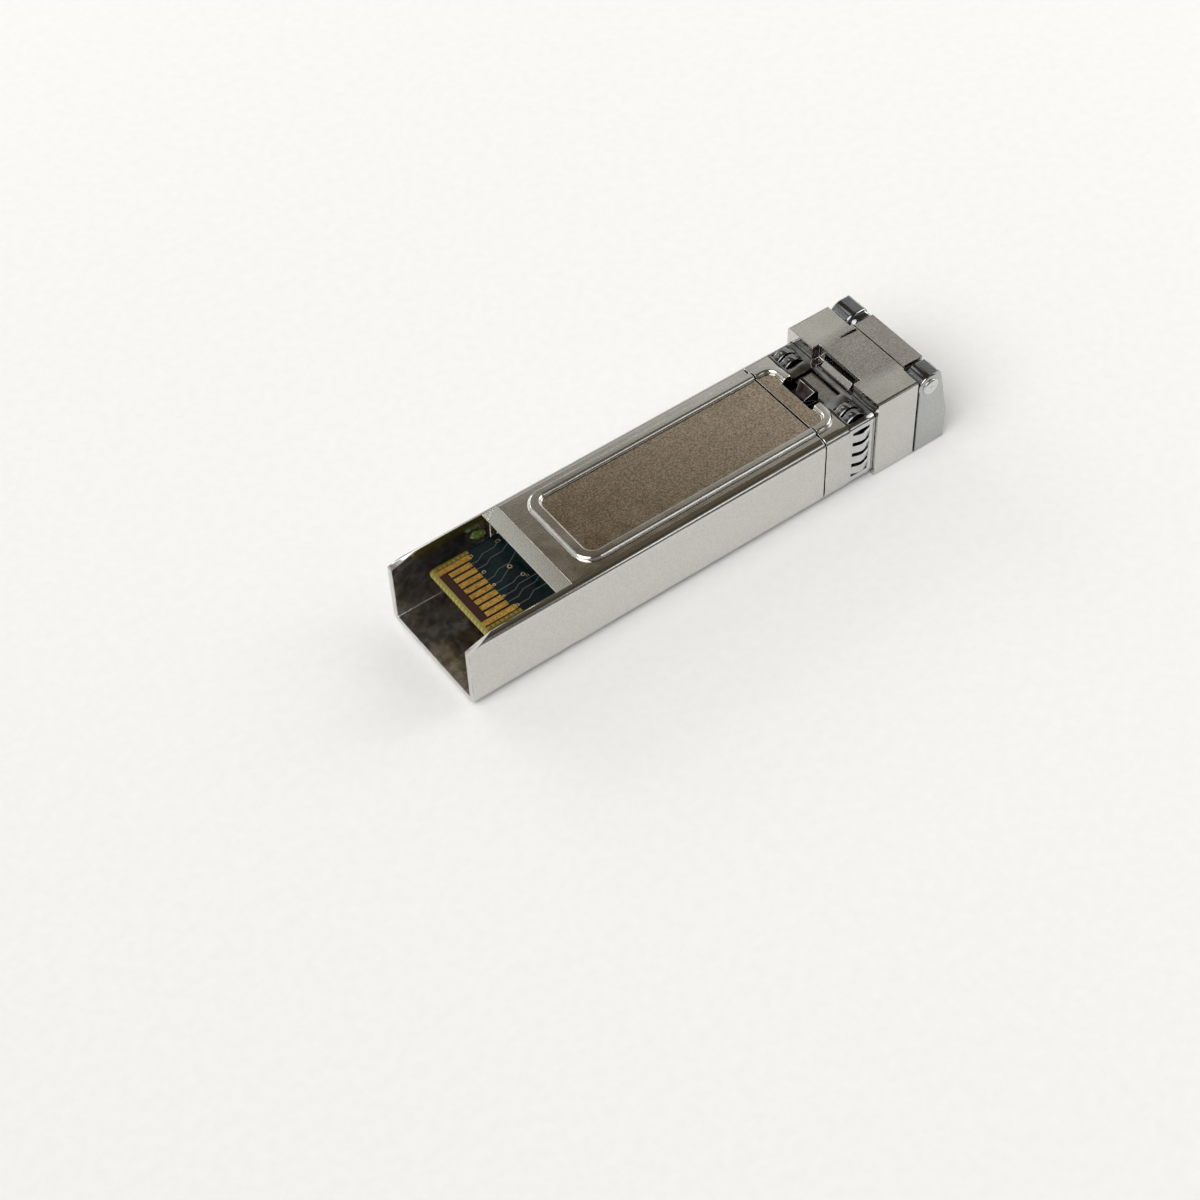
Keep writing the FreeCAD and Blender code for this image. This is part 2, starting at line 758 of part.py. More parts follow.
# Bail: two arms that lean forward, knuckles round at the rear, and a flat crossbar
bail = new_body("bail")
bar = new_sketch(bail, "XZ_Plane", ZERO)
rectangle(bar, crossbar_rear, overall_length, -d.head_drop, crossbar_top)
pad(bail, bar, arm_outer * 2, symmetric=True)
for start in (arm_outer, -arm_inner):
    arm = new_sketch(bail, "XZ_Plane", start)
    outline(arm, [
        (knuckle_rear, -d.head_drop),
        (overall_length, -d.head_drop),
        (overall_length, d.arm_break),
        (knuckle_front, knuckle_top - d.knuckle_nose_bevel),
        (knuckle_front - d.knuckle_nose_bevel, knuckle_top),
        (pivot_place, knuckle_top),
        (knuckle_rear, pivot_height),
    ])
    pad(bail, arm, d.arm_thickness)
for start in (arm_outer, -knuckle_inner):
    knuckle = circle(new_sketch(bail, "XZ_Plane", start), pivot_place, pivot_height, d.knuckle_radius)
    pad(bail, knuckle, arm_outer - knuckle_inner)
for start in (arm_inner, -knuckle_inner):
    brow = new_sketch(bail, "XZ_Plane", start)
    outline(brow, [
        (pivot_place, pivot_height),
        (knuckle_front, pivot_height),
        (knuckle_front, knuckle_top - d.knuckle_nose_bevel),
        (knuckle_front - d.knuckle_nose_bevel, knuckle_top),
        (pivot_place, knuckle_top),
    ])
    pad(bail, brow, d.knuckle_width)
shaft_seat = circle(new_sketch(bail, "XZ_Plane", ZERO), pivot_place, pivot_height, d.shaft_radius)
pocket(bail, shaft_seat, head_half * 2, symmetric=True)


def on_arm_outside(edge):
    box = edge.BoundBox
    outside = box.YLength < 1e-6 and near(abs(box.Center.y), arm_outer)
    round_hole = box.XLength < d.knuckle_radius.value and near(box.Center.x, pivot_place)
    return outside and not round_hole


dress(bail, "Fillet", d.bail_round, on_arm_outside)

# Cam shaft of the bail, with a riveted end on each arm
shaft = new_body("cam_shaft")
core = circle(new_sketch(shaft, "XZ_Plane", ZERO), pivot_place, pivot_height, d.shaft_radius)
pad(shaft, core, arm_outer * 2, symmetric=True)
for start in (arm_outer + d.rivet_rise, -arm_outer):
    rivet = circle(new_sketch(shaft, "XZ_Plane", start), pivot_place, pivot_height, d.rivet_radius)
    pad(shaft, rivet, d.rivet_rise)


def on_rivet_rim(edge):
    box = edge.BoundBox
    return near(abs(box.Center.y), arm_outer + d.rivet_rise) and box.YLength < 1e-6


dress(shaft, "Chamfer", d.rivet_bevel, on_rivet_rim)

# Eccentric bush on the shaft, which lifts the lever's pad as the bail opens
bush = new_body("cam_bush")
lobe = new_sketch(bush, "XZ_Plane", ZERO)
circle(lobe, pivot_place + cam_shift, pivot_height - cam_shift, d.cam_radius)
circle(lobe, pivot_place, pivot_height, d.shaft_radius)
pad(bush, lobe, (channel_half - d.cam_side_gap) * 2, symmetric=True)

# Latch lever: plate with the boss, hub, bar and front pad
lever = new_body("latch_lever")
lever_rear = lever_hole_rear + d.lever_rear_gap
bar_top = lever_base + d.lever_bar
side_view = new_sketch(lever, "XZ_Plane", ZERO)
web_front = pad_rear + d.pad_web
outline(side_view, [
    (lever_rear, lever_base),
    (web_front, lever_base),
    (web_front, pad_base),
    (head_front - d.pad_front_gap, pad_base),
    (head_front - d.pad_front_gap, pad_top),
    (pad_rear + d.pad_rake, pad_top),
    (pad_rear, bar_top),
    (lever_bar_rear, bar_top),
    (lever_bar_rear - (d.lever_bar - d.lever_plate), lever_base + d.lever_plate),
    (lever_rear, lever_base + d.lever_plate),
])
pad(lever, side_view, d.lever_width, symmetric=True)
hub = new_sketch(lever, "XZ_Plane", ZERO)
circle(hub, lever_pivot_place, lever_pivot_height, d.lever_hub_radius)
pad(lever, hub, d.lever_width, symmetric=True)
front_pad = new_sketch(lever, "XZ_Plane", pad_far)
outline(front_pad, [
    (pad_rear + d.pad_rake, pad_base),
    (head_front - d.pad_front_gap, pad_base),
    (head_front - d.pad_front_gap, pad_top),
    (pad_rear + d.pad_rake, pad_top),
])
pad(lever, front_pad, pad_far + pad_near)
tail_sides = new_sketch(lever, "XY_Plane", lever_base)
for side in (-1, 1):
    edges = sorted([d.lever_width / 2 * side, d.tail_width / 2 * side], key=lambda size: size.value)
    rectangle(tail_sides, lever_rear, tail_front, edges[0], edges[1])
pocket(lever, tail_sides, d.lever_plate)
boss = new_sketch(lever, "XY_Plane", lever_base + d.lever_plate)
boss_top = bead_top + d.boss_rise
outline(boss, [
    (lever_rear, -d.boss_tip_width / 2),
    (boss_front, -d.boss_width / 2),
    (boss_front, d.boss_width / 2),
    (lever_rear, d.boss_tip_width / 2),
])
pad(lever, boss, boss_top - lever_base - d.lever_plate)
boss_ramp = new_sketch(lever, "XZ_Plane", ZERO)
outline(boss_ramp, [
    (lever_rear, lever_base + d.lever_plate),
    (boss_front - d.bead_rise, boss_top),
    (lever_rear, boss_top),
])
pocket(lever, boss_ramp, d.lever_width, symmetric=True)
pin_eye = circle(
    new_sketch(lever, "XZ_Plane", ZERO),
    lever_pivot_place,
    lever_pivot_height,
    d.pin_radius + d.pin_fit,
)
pocket(lever, pin_eye, d.lever_width + d.cut_margin, symmetric=True)

# Pivot pin of the lever, pressed in from the far side
pin = new_body("latch_pivot_pin")
pin_core = new_sketch(pin, "XZ_Plane", head_half - d.pin_recess)
circle(pin_core, lever_pivot_place, lever_pivot_height, d.pin_radius)
pad(pin, pin_core, head_half - d.pin_recess + pin_near)

# Leaf spring under the rear end of the lever
leaf = new_body("latch_spring")
leaf_base = lever_base - d.lever_room
leaf_rear = lever_hole_rear + d.lever_rear_gap
leaf_rise = d.lever_room - d.leaf_thickness - d.leaf_gap
arch = new_sketch(leaf, "XZ_Plane", ZERO)
arched_strip(arch, leaf_rear, leaf_rear + d.leaf_span, leaf_base, leaf_rise, d.leaf_thickness, 1)
pad(leaf, arch, d.leaf_width, symmetric=True)

# Shielding collar: a sheet ring with windows bridged by bowed fingers
collar = new_body("emi_collar")
ring_rear = collar_rear + d.collar_side_gap
ring_front = head_rear - d.collar_side_gap
ring_half = seat_half + d.collar_sheet
ring = new_sketch(collar, "YZ_Plane", ring_rear)
ring_low = d.collar_seat_depth - d.collar_sheet
ring_high = seat_top + d.collar_sheet
ring_round = d.seat_round + d.collar_sheet
rounded_rectangle(ring, -ring_half, ring_half, ring_low, ring_high, ring_round)
rounded_rectangle(ring, -seat_half, seat_half, d.collar_seat_depth, seat_top, d.seat_round)
pad(collar, ring, ring_front - ring_rear)
window_rear = ring_rear + d.collar_rear_band
window_front = ring_front - d.collar_front_band
finger_margin = d.finger_pitch - d.finger_width
top_margin = d.top_finger_pitch - d.top_finger_width
side_low = d.side_finger_start
side_high = side_low + d.finger_pitch * (d.side_finger_count - 1) + d.finger_width
side_window = new_sketch(collar, "XZ_Plane", ZERO)
rectangle(side_window, window_rear, window_front, side_low - finger_margin, side_high + finger_margin)
pocket(collar, side_window, d.body_width, symmetric=True)
base_half = (d.finger_pitch * (d.base_finger_count - 1) + d.finger_width) / 2
base_window = new_sketch(collar, "XY_Plane", ring_low)
rectangle(base_window, window_rear, window_front, -base_half - finger_margin, base_half + finger_margin)
pocket(collar, base_window, d.collar_sheet)
top_low = d.top_finger_start
top_high = top_low + d.top_finger_pitch * (d.top_finger_count - 1) + d.top_finger_width
top_windows = new_sketch(collar, "XY_Plane", seat_top)
rectangle(top_windows, window_rear, window_front, top_low - top_margin, top_high + top_margin)
rectangle(top_windows, window_rear, window_front, -top_high - top_margin, -top_low + top_margin)
rectangle(top_windows, ring_rear - d.collar_side_gap, window_front, -channel_half, channel_half)
pocket(collar, top_windows, d.collar_sheet)
for side in (-1, 1):
    bow = new_sketch(collar, "XY_Plane", side_low)
    arched_strip(bow, window_rear, window_front, seat_half, d.finger_crest, d.collar_sheet, side)
    finger = pad(collar, bow, d.finger_width)
    repeat(collar, finger, "Z_Axis", d.finger_pitch, d.side_finger_count)
for start in (top_high, -top_low):
    bow = new_sketch(collar, "XZ_Plane", start)
    arched_strip(bow, window_rear, window_front, seat_top, d.finger_crest, d.collar_sheet, 1)
    finger = pad(collar, bow, d.top_finger_width)
    repeat(collar, finger, "Y_Axis", d.top_finger_pitch, d.top_finger_count, reverse=True)
bow = new_sketch(collar, "XZ_Plane", base_half)
base_foot = -d.collar_seat_depth
arched_strip(bow, window_rear, window_front, base_foot, d.base_finger_crest, d.collar_sheet, -1)
finger = pad(collar, bow, d.finger_width)
repeat(collar, finger, "Y_Axis", d.finger_pitch, d.base_finger_count, reverse=True)

# Circuit board with its edge tongue
board = new_body("circuit_board")
tongue_front = bulkhead_front + d.tongue_clearance
plan = new_sketch(board, "XY_Plane", board_base)
outline(plan, [
    (d.board_rear, -d.tongue_width / 2),
    (tongue_front, -d.tongue_width / 2),
    (tongue_front, -d.board_width / 2),
    (board_front, -d.board_width / 2),
    (board_front, d.board_width / 2),
    (tongue_front, d.board_width / 2),
    (tongue_front, d.tongue_width / 2),
    (d.board_rear, d.tongue_width / 2),
])
pad(board, plan, d.board_thickness)


def on_tongue_end(edge):
    return runs_along(edge, "Y") and near(edge.BoundBox.Center.x, d.board_rear)


dress(board, "Chamfer", d.tongue_bevel, on_tongue_end)

# Edge contacts: the outer pair on each face reaches further back
contact_start = d.contact_pitch * (d.contact_count - 1) / 2 + d.contact_width / 2
for label, level in (("upper_contacts", board_top), ("lower_contacts", board_base - d.contact_thickness)):
    contacts = new_body(label)
    inner_rear = d.board_rear + d.contact_inner_start
    outer_rear = d.board_rear + d.contact_outer_start
    inner_front = d.board_rear + d.contact_inner_end
    outer_front = d.board_rear + d.contact_outer_end
    pads = new_sketch(contacts, "XY_Plane", level)
    rectangle(pads, inner_rear, inner_front, -contact_start, -contact_start + d.contact_width)
    strip = pad(contacts, pads, d.contact_thickness)
    repeat(contacts, strip, "Y_Axis", d.contact_pitch, d.contact_count)
    long_pads = new_sketch(contacts, "XY_Plane", level)
    rectangle(long_pads, outer_rear, outer_front, -contact_start, -contact_start + d.contact_width)
    rectangle(long_pads, outer_rear, outer_front, contact_start - d.contact_width, contact_start)
    pad(contacts, long_pads, d.contact_thickness)

# Transmitter and receiver, side by side on the two port axes
nozzle_front = port_rear + d.nozzle_length - d.port_wall
sleeve_front = nozzle_front - d.sleeve_recess
sleeve_rear = sleeve_front - d.sleeve_length
for label, side in (("tosa", 1), ("rosa", -1)):
    middle = d.port_pitch / 2 * side
    barrel = new_body(f"{label}_barrel", middle, axis_height)
    half_section = new_sketch(barrel, "XZ_Plane", ZERO)
    outline(half_section, [
        (barrel_rear, d.stub_bore),
        (sleeve_rear, d.stub_bore),
        (sleeve_rear, d.sleeve_radius),
        (nozzle_front, d.sleeve_radius),
        (nozzle_front, d.nozzle_radius - d.nozzle_chamfer),
        (nozzle_front - d.nozzle_chamfer, d.nozzle_radius),
        (flange_front, d.nozzle_radius),
        (flange_front, d.flange_radius),
        (flange_rear, d.flange_radius),
        (flange_rear, d.groove_radius),
        (groove_rear, d.groove_radius),
        (groove_rear, d.barrel_radius),
        (barrel_rear, d.barrel_radius),
    ])
    revolve(barrel, half_section, "X_Axis")
    sleeve = new_body(f"{label}_sleeve", middle, axis_height)
    wall = new_sketch(sleeve, "XZ_Plane", ZERO)
    rectangle(wall, sleeve_rear, sleeve_front, d.sleeve_bore, d.sleeve_radius)
    revolve(sleeve, wall, "X_Axis")
    can = new_body(f"{label}_can", middle, axis_height)
    cap = new_sketch(can, "XZ_Plane", ZERO)
    outline(cap, [
        (header_rear, ZERO),
        (barrel_rear, ZERO),
        (barrel_rear, d.can_radius - d.can_round),
        (barrel_rear - d.can_round, d.can_radius),
        (header_front, d.can_radius),
        (header_front, d.header_radius),
        (header_rear, d.header_radius),
    ])
    revolve(can, cap, "X_Axis")
    leads = new_sketch(can, "YZ_Plane", lead_rear)
    for across, up in ((-1, 0), (1, 0), (0, -1), (0, 1)):
        lead_left = d.lead_circle * across - d.lead_size / 2
        lead_low = d.lead_circle * up - d.lead_size / 2
        rectangle(leads, lead_left, lead_left + d.lead_size, lead_low, lead_low + d.lead_size)
    pad(can, leads, d.lead_length)
    flex = new_body(f"{label}_flex", middle)
    strip = new_sketch(flex, "XZ_Plane", ZERO)
    flex_top = board_base
    flex_under = flex_top - d.flex_thickness
    lap_rear = board_front - d.flex_lap
    outline(strip, [
        (lap_rear, flex_under),
        (flex_rear - d.flex_bend, flex_under),
        (flex_rear, flex_under - d.flex_bend),
        (flex_rear, flex_top - d.flex_drop),
        (lead_rear, flex_top - d.flex_drop),
        (lead_rear, flex_under - d.flex_bend + d.flex_thickness / 2),
        (flex_rear - d.flex_bend + d.flex_thickness / 2, flex_top),
        (lap_rear, flex_top),
    ])
    pad(flex, strip, d.flex_width, symmetric=True)

# Gasket between the flanges and the port wall, and the plate that holds both barrels
insert_half = bay_half - d.insert_margin
gasket = new_body("nozzle_gasket")
gasket_plan = new_sketch(gasket, "YZ_Plane", flange_front)
rectangle(gasket_plan, -insert_half, insert_half, insert_low, insert_high)
retainer = new_body("barrel_retainer")
retainer_plan = new_sketch(retainer, "YZ_Plane", groove_rear + d.retainer_gap)
rectangle(retainer_plan, -insert_half, insert_half, insert_low, insert_high)
for side in (-1, 1):
    middle = d.port_pitch / 2 * side
    circle(gasket_plan, middle, axis_height, d.nozzle_radius + d.retainer_gap)
    circle(retainer_plan, middle, axis_height, d.groove_radius + d.retainer_gap)
pad(gasket, gasket_plan, d.gasket_thickness)
pad(retainer, retainer_plan, d.groove_length - d.retainer_gap * 2)
mouths = new_sketch(retainer, "YZ_Plane", groove_rear)
for side in (-1, 1):
    middle = d.port_pitch / 2 * side
    mouth_half = d.groove_radius + d.retainer_gap
    rectangle(mouths, middle - mouth_half, middle + mouth_half, insert_low - d.cut_margin, axis_height)
pocket(retainer, mouths, d.groove_length)

# Chips on the latch side of the board, with a pad to the shell's roof
for label, side in (("laser_driver_chip", -1), ("receiver_amplifier_chip", 1)):
    chip = new_body(label)
    middle = d.chip_spread / 2 * side
    half = d.chip_size / 2
    package = new_sketch(chip, "XY_Plane", board_top)
    rectangle(package, chip_place - half, chip_place + half, middle - half, middle + half)
    pad(chip, package, d.chip_thickness)
heat_pad = new_body("thermal_pad")
pad_plan = new_sketch(heat_pad, "XY_Plane", board_top + d.chip_thickness)
pad_half = d.chip_size / 2
pad_ceiling = d.land_height - d.roof_wall - d.heat_pad_gap
rectangle(
    pad_plan,
    chip_place - pad_half,
    chip_place + pad_half,
    -d.chip_spread / 2 - pad_half,
    d.chip_spread / 2 + pad_half,
)
pad(heat_pad, pad_plan, pad_ceiling - board_top - d.chip_thickness)
controller = new_body("microcontroller_chip")
controller_half = d.controller_size / 2
package = new_sketch(controller, "XY_Plane", board_base - d.controller_thickness)
rectangle(
    package,
    controller_place - controller_half,
    controller_place + controller_half,
    -controller_half,
    controller_half,
)
pad(controller, package, d.controller_thickness)
rows = (
    ("chip_capacitors", board_front - d.capacitor_setback, d.capacitor_length, d.capacitor_width,
     d.capacitor_height, d.capacitor_pitch, d.capacitor_count),
    ("chip_resistors", board_front - d.resistor_setback, d.resistor_length, d.resistor_width,
     d.resistor_height, d.resistor_pitch, d.resistor_count),
)
for label, place, length, width, height, pitch, count in rows:
    row_body = new_body(label)
    low = -(pitch * (count - 1) + width) / 2
    block = new_sketch(row_body, "XY_Plane", board_top)
    rectangle(block, place - length / 2, place + length / 2, low, low + width)
    first = pad(row_body, block, height)
    repeat(row_body, first, "Y_Axis", pitch, count)

# Check every feature and every finished shape, then write one file per piece
doc.recompute()
faulty = [item.Label for item in doc.Objects if {"Invalid", "Error"} & set(item.State)]
if faulty:
    raise RuntimeError(f"these features failed: {faulty}")
bodies = [item for item in doc.Objects if item.TypeId == "PartDesign::Body"]
for body in bodies:
    if body.Shape.isNull() or not body.Shape.isValid() or not body.Shape.Solids:
        raise RuntimeError(f"{body.Label} has no valid shape")
os.makedirs("parts", exist_ok=True)
for body in bodies:
    body.Shape.exportStep(f"parts/{body.Label}.step")
    box = body.Shape.BoundBox
    print(f"{body.Label}: {len(body.Shape.Solids)} solid(s), {body.Shape.Volume:.2f} mm3")
    spans = [(box.XMin, box.XMax), (box.YMin, box.YMax), (box.ZMin, box.ZMax)]
    print("    " + ", ".join(f"{low:.2f} to {high:.2f}" for low, high in spans))
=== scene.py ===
import json
import math
from collections import namedtuple

import bmesh
import bpy
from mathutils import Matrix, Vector

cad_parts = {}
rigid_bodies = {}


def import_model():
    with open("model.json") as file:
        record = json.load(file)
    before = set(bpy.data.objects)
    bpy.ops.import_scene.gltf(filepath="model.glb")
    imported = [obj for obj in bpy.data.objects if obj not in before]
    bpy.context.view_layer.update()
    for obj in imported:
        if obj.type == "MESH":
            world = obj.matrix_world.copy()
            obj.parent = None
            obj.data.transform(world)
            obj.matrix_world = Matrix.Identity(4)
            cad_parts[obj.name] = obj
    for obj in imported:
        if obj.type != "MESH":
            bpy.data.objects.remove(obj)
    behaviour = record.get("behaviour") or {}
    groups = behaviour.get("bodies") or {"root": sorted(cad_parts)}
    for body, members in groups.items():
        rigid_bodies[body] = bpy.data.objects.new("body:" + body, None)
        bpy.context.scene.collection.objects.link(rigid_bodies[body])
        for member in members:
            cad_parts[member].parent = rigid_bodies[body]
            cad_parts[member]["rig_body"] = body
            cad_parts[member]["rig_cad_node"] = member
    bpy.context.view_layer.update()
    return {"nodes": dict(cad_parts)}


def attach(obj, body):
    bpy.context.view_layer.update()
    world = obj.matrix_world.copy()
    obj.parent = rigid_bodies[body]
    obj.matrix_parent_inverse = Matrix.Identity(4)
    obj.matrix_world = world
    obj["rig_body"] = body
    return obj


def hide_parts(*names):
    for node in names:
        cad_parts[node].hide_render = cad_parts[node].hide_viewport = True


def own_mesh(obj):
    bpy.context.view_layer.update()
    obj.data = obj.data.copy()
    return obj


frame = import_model()

# Places are given as the part's own drawing gives them: u along the module from
# the shell's rear edge, y across, z up from the shell's underside, in millimetres
MM = 0.001
HALF_LENGTH = 28.25
HEAD_DROP = 0.3


def at(u, y, z):
    return Vector(((u - HALF_LENGTH) * MM, y * MM, (z + HEAD_DROP) * MM))


def where(point):
    return point.x / MM + HALF_LENGTH, point.y / MM, point.z / MM - HEAD_DROP


def by(u=0.0, y=0.0, z=0.0):
    return u * MM, y * MM, z * MM


# Hand tools for modelling

def let_go():
    if bpy.context.object and bpy.context.object.mode != "OBJECT":
        bpy.ops.object.mode_set(mode="OBJECT")
    bpy.ops.object.select_all(action="DESELECT")


def take(piece):
    let_go()
    piece.select_set(True)
    bpy.context.view_layer.objects.active = piece


def named(piece, name):
    piece.name = name
    piece.data.name = name
    return piece


def settle(piece, name):
    take(piece)
    bpy.ops.object.transform_apply(location=True, rotation=True, scale=True)
    return named(piece, name)


def work_on(piece):
    take(piece)
    bpy.ops.object.mode_set(mode="EDIT")
    bpy.ops.mesh.select_mode(type="FACE")


def put_down():
    bpy.ops.object.mode_set(mode="OBJECT")


def pick(piece, kind, test):
    bpy.ops.mesh.select_mode(type=kind)
    bpy.ops.mesh.select_all(action="DESELECT")
    shape = bmesh.from_edit_mesh(piece.data)
    parts = {"FACE": shape.faces, "EDGE": shape.edges, "VERT": shape.verts}[kind]
    for part in parts:
        if test(part):
            part.select = True
    shape.select_flush_mode()
    bmesh.update_edit_mesh(piece.data)


def middle(part):
    corners = [corner.co for corner in part.verts]
    return where(sum(corners, Vector()) / len(corners))


def bent(edge, degrees):
    return edge.calc_face_angle(0.0) > math.radians(degrees)


def drawn_out(**step):
    bpy.ops.mesh.extrude_region_move(TRANSFORM_OT_translate={"value": by(**step)})


def moved(**step):
    bpy.ops.transform.translate(value=by(**step))


def cut(u=None, y=None, z=None):
    bpy.ops.mesh.select_all(action="SELECT")
    point = at(u or 0.0, y or 0.0, z or 0.0)
    normal = [float(place is not None) for place in (u, y, z)]
    bpy.ops.mesh.bisect(plane_co=point, plane_no=normal)


def dress(piece, kind, **settings):
    take(piece)
    step = piece.modifiers.new(kind.lower(), kind)
    for setting, value in settings.items():
        setattr(step, setting, value)
    bpy.ops.object.modifier_apply(modifier=step.name)


def block(name, low, high):
    let_go()
    bpy.ops.mesh.primitive_cube_add(size=1)
    piece = bpy.context.object
    low, high = at(*low), at(*high)
    piece.location = (low + high) / 2
    piece.scale = high - low
    return settle(piece, name)


def joined(name, pieces):
    take(pieces[0])
    for piece in pieces:
        piece.select_set(True)
    bpy.ops.object.join()
    return named(bpy.context.object, name)


def copy_of(piece):
    take(piece)
    bpy.ops.object.duplicate()
    return bpy.context.object


def row_of(first, count, **step):
    row = [first]
    for number in range(1, count):
        again = copy_of(first)
        moved(**{way: size * number for way, size in step.items()})
        bpy.ops.object.transform_apply(location=True, rotation=False, scale=False)
        row.append(again)
    return row


def smooth(piece, degrees):
    take(piece)
    bpy.ops.object.shade_smooth_by_angle(angle=math.radians(degrees))


def coat(piece, *finishes):
    piece.data.materials.clear()
    for finish in finishes:
        piece.data.materials.append(finish)


# Node tools for the finishes

FLOAT, VECTOR = "NodeSocketFloat", "NodeSocketVector"
NOISE, WAVE, CELLS = "ShaderNodeTexNoise", "ShaderNodeTexWave", "ShaderNodeTexVoronoi"
VECTOR_MATH = "ShaderNodeVectorMath"


def node(tree, kind, place, **settings):
    made = tree.nodes.new(kind)
    made.location = place
    for setting, value in settings.items():
        setattr(made, setting, value)
    return made


def wire(tree, source, target):
    tree.links.new(source, target)


def dial(made, **values):
    for label, value in values.items():
        made.inputs[label.replace("_", " ")].default_value = value


def on_piece(tree, place):
    return node(tree, "ShaderNodeTexCoord", place).outputs["Object"]


def pattern(tree, kind, place, vector, **values):
    made = node(tree, kind, place)
    dial(made, **values)
    wire(tree, vector, made.inputs["Vector"])
    return made


def axes(tree, place, vector):
    split = node(tree, "ShaderNodeSeparateXYZ", place)
    wire(tree, vector, split.inputs["Vector"])
    return split.outputs


def ranged(tree, place, source, begin=0.0, end=1.0, low=0.0, high=1.0):
    made = node(tree, "ShaderNodeMapRange", place)
    dial(made, From_Min=begin, From_Max=end, To_Min=low, To_Max=high)
    wire(tree, source, made.inputs["Value"])
    return made.outputs["Result"]


def combined(tree, place, operation, *sources, kind="ShaderNodeMath", **settings):
    # Each source is another node's output or a plain number
    made = node(tree, kind, place, operation=operation, **settings)
    for source, socket in zip(sources, made.inputs):
        if isinstance(source, float):
            socket.default_value = source
        else:
            wire(tree, source, socket)
    return made.outputs[0]


def blended(tree, place, mask, first, second):
    # Each of the two is another node's output or a plain colour
    made = node(tree, "ShaderNodeMix", place, data_type="RGBA")
    wire(tree, mask, made.inputs["Factor"])
    for value, socket in ((first, made.inputs["A"]), (second, made.inputs["B"])):
        if isinstance(value, tuple):
            socket.default_value = (*value, 1.0)
        else:
            wire(tree, value, socket)
    return made.outputs["Result"]


def darkened(colour, share):
    return tuple(share * part for part in colour)


# Shared surface effects

def new_group(name, inputs, outputs):
    group = bpy.data.node_groups.new(name, "ShaderNodeTree")
    for label, kind, value in inputs:
        socket = group.interface.new_socket(label, in_out="INPUT", socket_type=kind)
        socket.default_value = value
    for label in outputs:
        group.interface.new_socket(label, in_out="OUTPUT", socket_type=FLOAT)
    given = node(group, "NodeGroupInput", (-1000, 0))
    ends = node(group, "NodeGroupOutput", (500, 0))
    return group, given.outputs, ends.inputs


def build_cast_grain():
    # Fine grain with scattered pits, as a height and as a tone
    group, given, ends = new_group(
        "cast_grain", [("Size", FLOAT, 5000.0), ("Pits", FLOAT, 0.3)], ["Height", "Tone"]
    )
    place = on_piece(group, (-900, 250))
    fine = pattern(group, NOISE, (-650, 200), place, Detail=3.0, Roughness=0.65)
    wire(group, given["Size"], fine.inputs["Scale"])
    pits = pattern(group, CELLS, (-650, -120), place)
    pit_size = combined(group, (-800, -150), "MULTIPLY", given["Size"], 0.35)
    wire(group, pit_size, pits.inputs["Scale"])
    hole = ranged(group, (-420, -120), pits.outputs["Distance"], end=0.22, low=1.0, high=0.0)
    deep = combined(group, (-220, -120), "MULTIPLY", hole, given["Pits"])
    height = combined(group, (0, 80), "SUBTRACT", fine.outputs["Fac"], deep)
    wire(group, height, ends["Height"])
    tone = ranged(group, (0, 280), fine.outputs["Fac"], begin=0.34, end=0.66)
    wire(group, tone, ends["Tone"])
    return group


def build_handling():
    # Masks of the soft smudges and the fine lengthwise scratches that handling leaves
    group, given, ends = new_group(
        "handling",
        [("Smudge Size", FLOAT, 260.0), ("Scratch Size", FLOAT, 900.0)],
        ["Smudge", "Scratch"],
    )
    place = on_piece(group, (-900, 250))
    smudge = pattern(group, NOISE, (-650, 220), place, Detail=4.0, Distortion=0.7)
    wire(group, given["Smudge Size"], smudge.inputs["Scale"])
    soft = ranged(group, (-420, 220), smudge.outputs["Fac"], begin=0.35, end=0.7)
    wire(group, soft, ends["Smudge"])
    stretch = node(group, "ShaderNodeMapping", (-700, -150))
    dial(stretch, Scale=(0.12, 2.2, 2.2), Rotation=(0.0, 0.0, 0.16))
    wire(group, place, stretch.inputs["Vector"])
    drawn = stretch.outputs["Vector"]
    lines = pattern(group, NOISE, (-480, -150), drawn, Detail=5.0, Roughness=0.75)
    wire(group, given["Scratch Size"], lines.inputs["Scale"])
    thin = ranged(group, (-240, -150), lines.outputs["Fac"], begin=0.62, end=0.72)
    wire(group, thin, ends["Scratch"])
    return group


def build_zone():
    # A soft-edged mask of a box on the part, for a finish that covers only that zone
    group, given, ends = new_group(
        "zone",
        [
            ("Middle", VECTOR, (0.0, 0.0, 0.0)),
            ("Reach", VECTOR, (1.0, 1.0, 1.0)),
            ("Fade", FLOAT, 0.0002),
        ],
        ["Mask"],
    )
    place = on_piece(group, (-1000, 250))
    away = combined(group, (-800, 150), "SUBTRACT", place, given["Middle"], kind=VECTOR_MATH)
    far = combined(group, (-620, 150), "ABSOLUTE", away, kind=VECTOR_MATH)
    inside = combined(group, (-440, 100), "SUBTRACT", given["Reach"], far, kind=VECTOR_MATH)
    depth = axes(group, (-260, 100), inside)
    least = combined(group, (-80, 140), "MINIMUM", depth["X"], depth["Y"])
    least = combined(group, (100, 100), "MINIMUM", least, depth["Z"])
    mask = combined(group, (280, 60), "DIVIDE", least, given["Fade"], use_clamp=True)
    wire(group, mask, ends["Mask"])
    return group


CAST_GRAIN = build_cast_grain()
HANDLING = build_handling()
ZONE = build_zone()


def effect(tree, group, place, **values):
    made = node(tree, "ShaderNodeGroup", place)
    made.node_tree = group
    dial(made, **values)
    return made


def zone(tree, place, low, high, fade):
    low, high = at(*low), at(*high)
    made = effect(
        tree, ZONE, place, Middle=(low + high) / 2, Reach=(high - low) / 2, Fade=fade * MM
    )
    return made.outputs["Mask"]


# Finishes

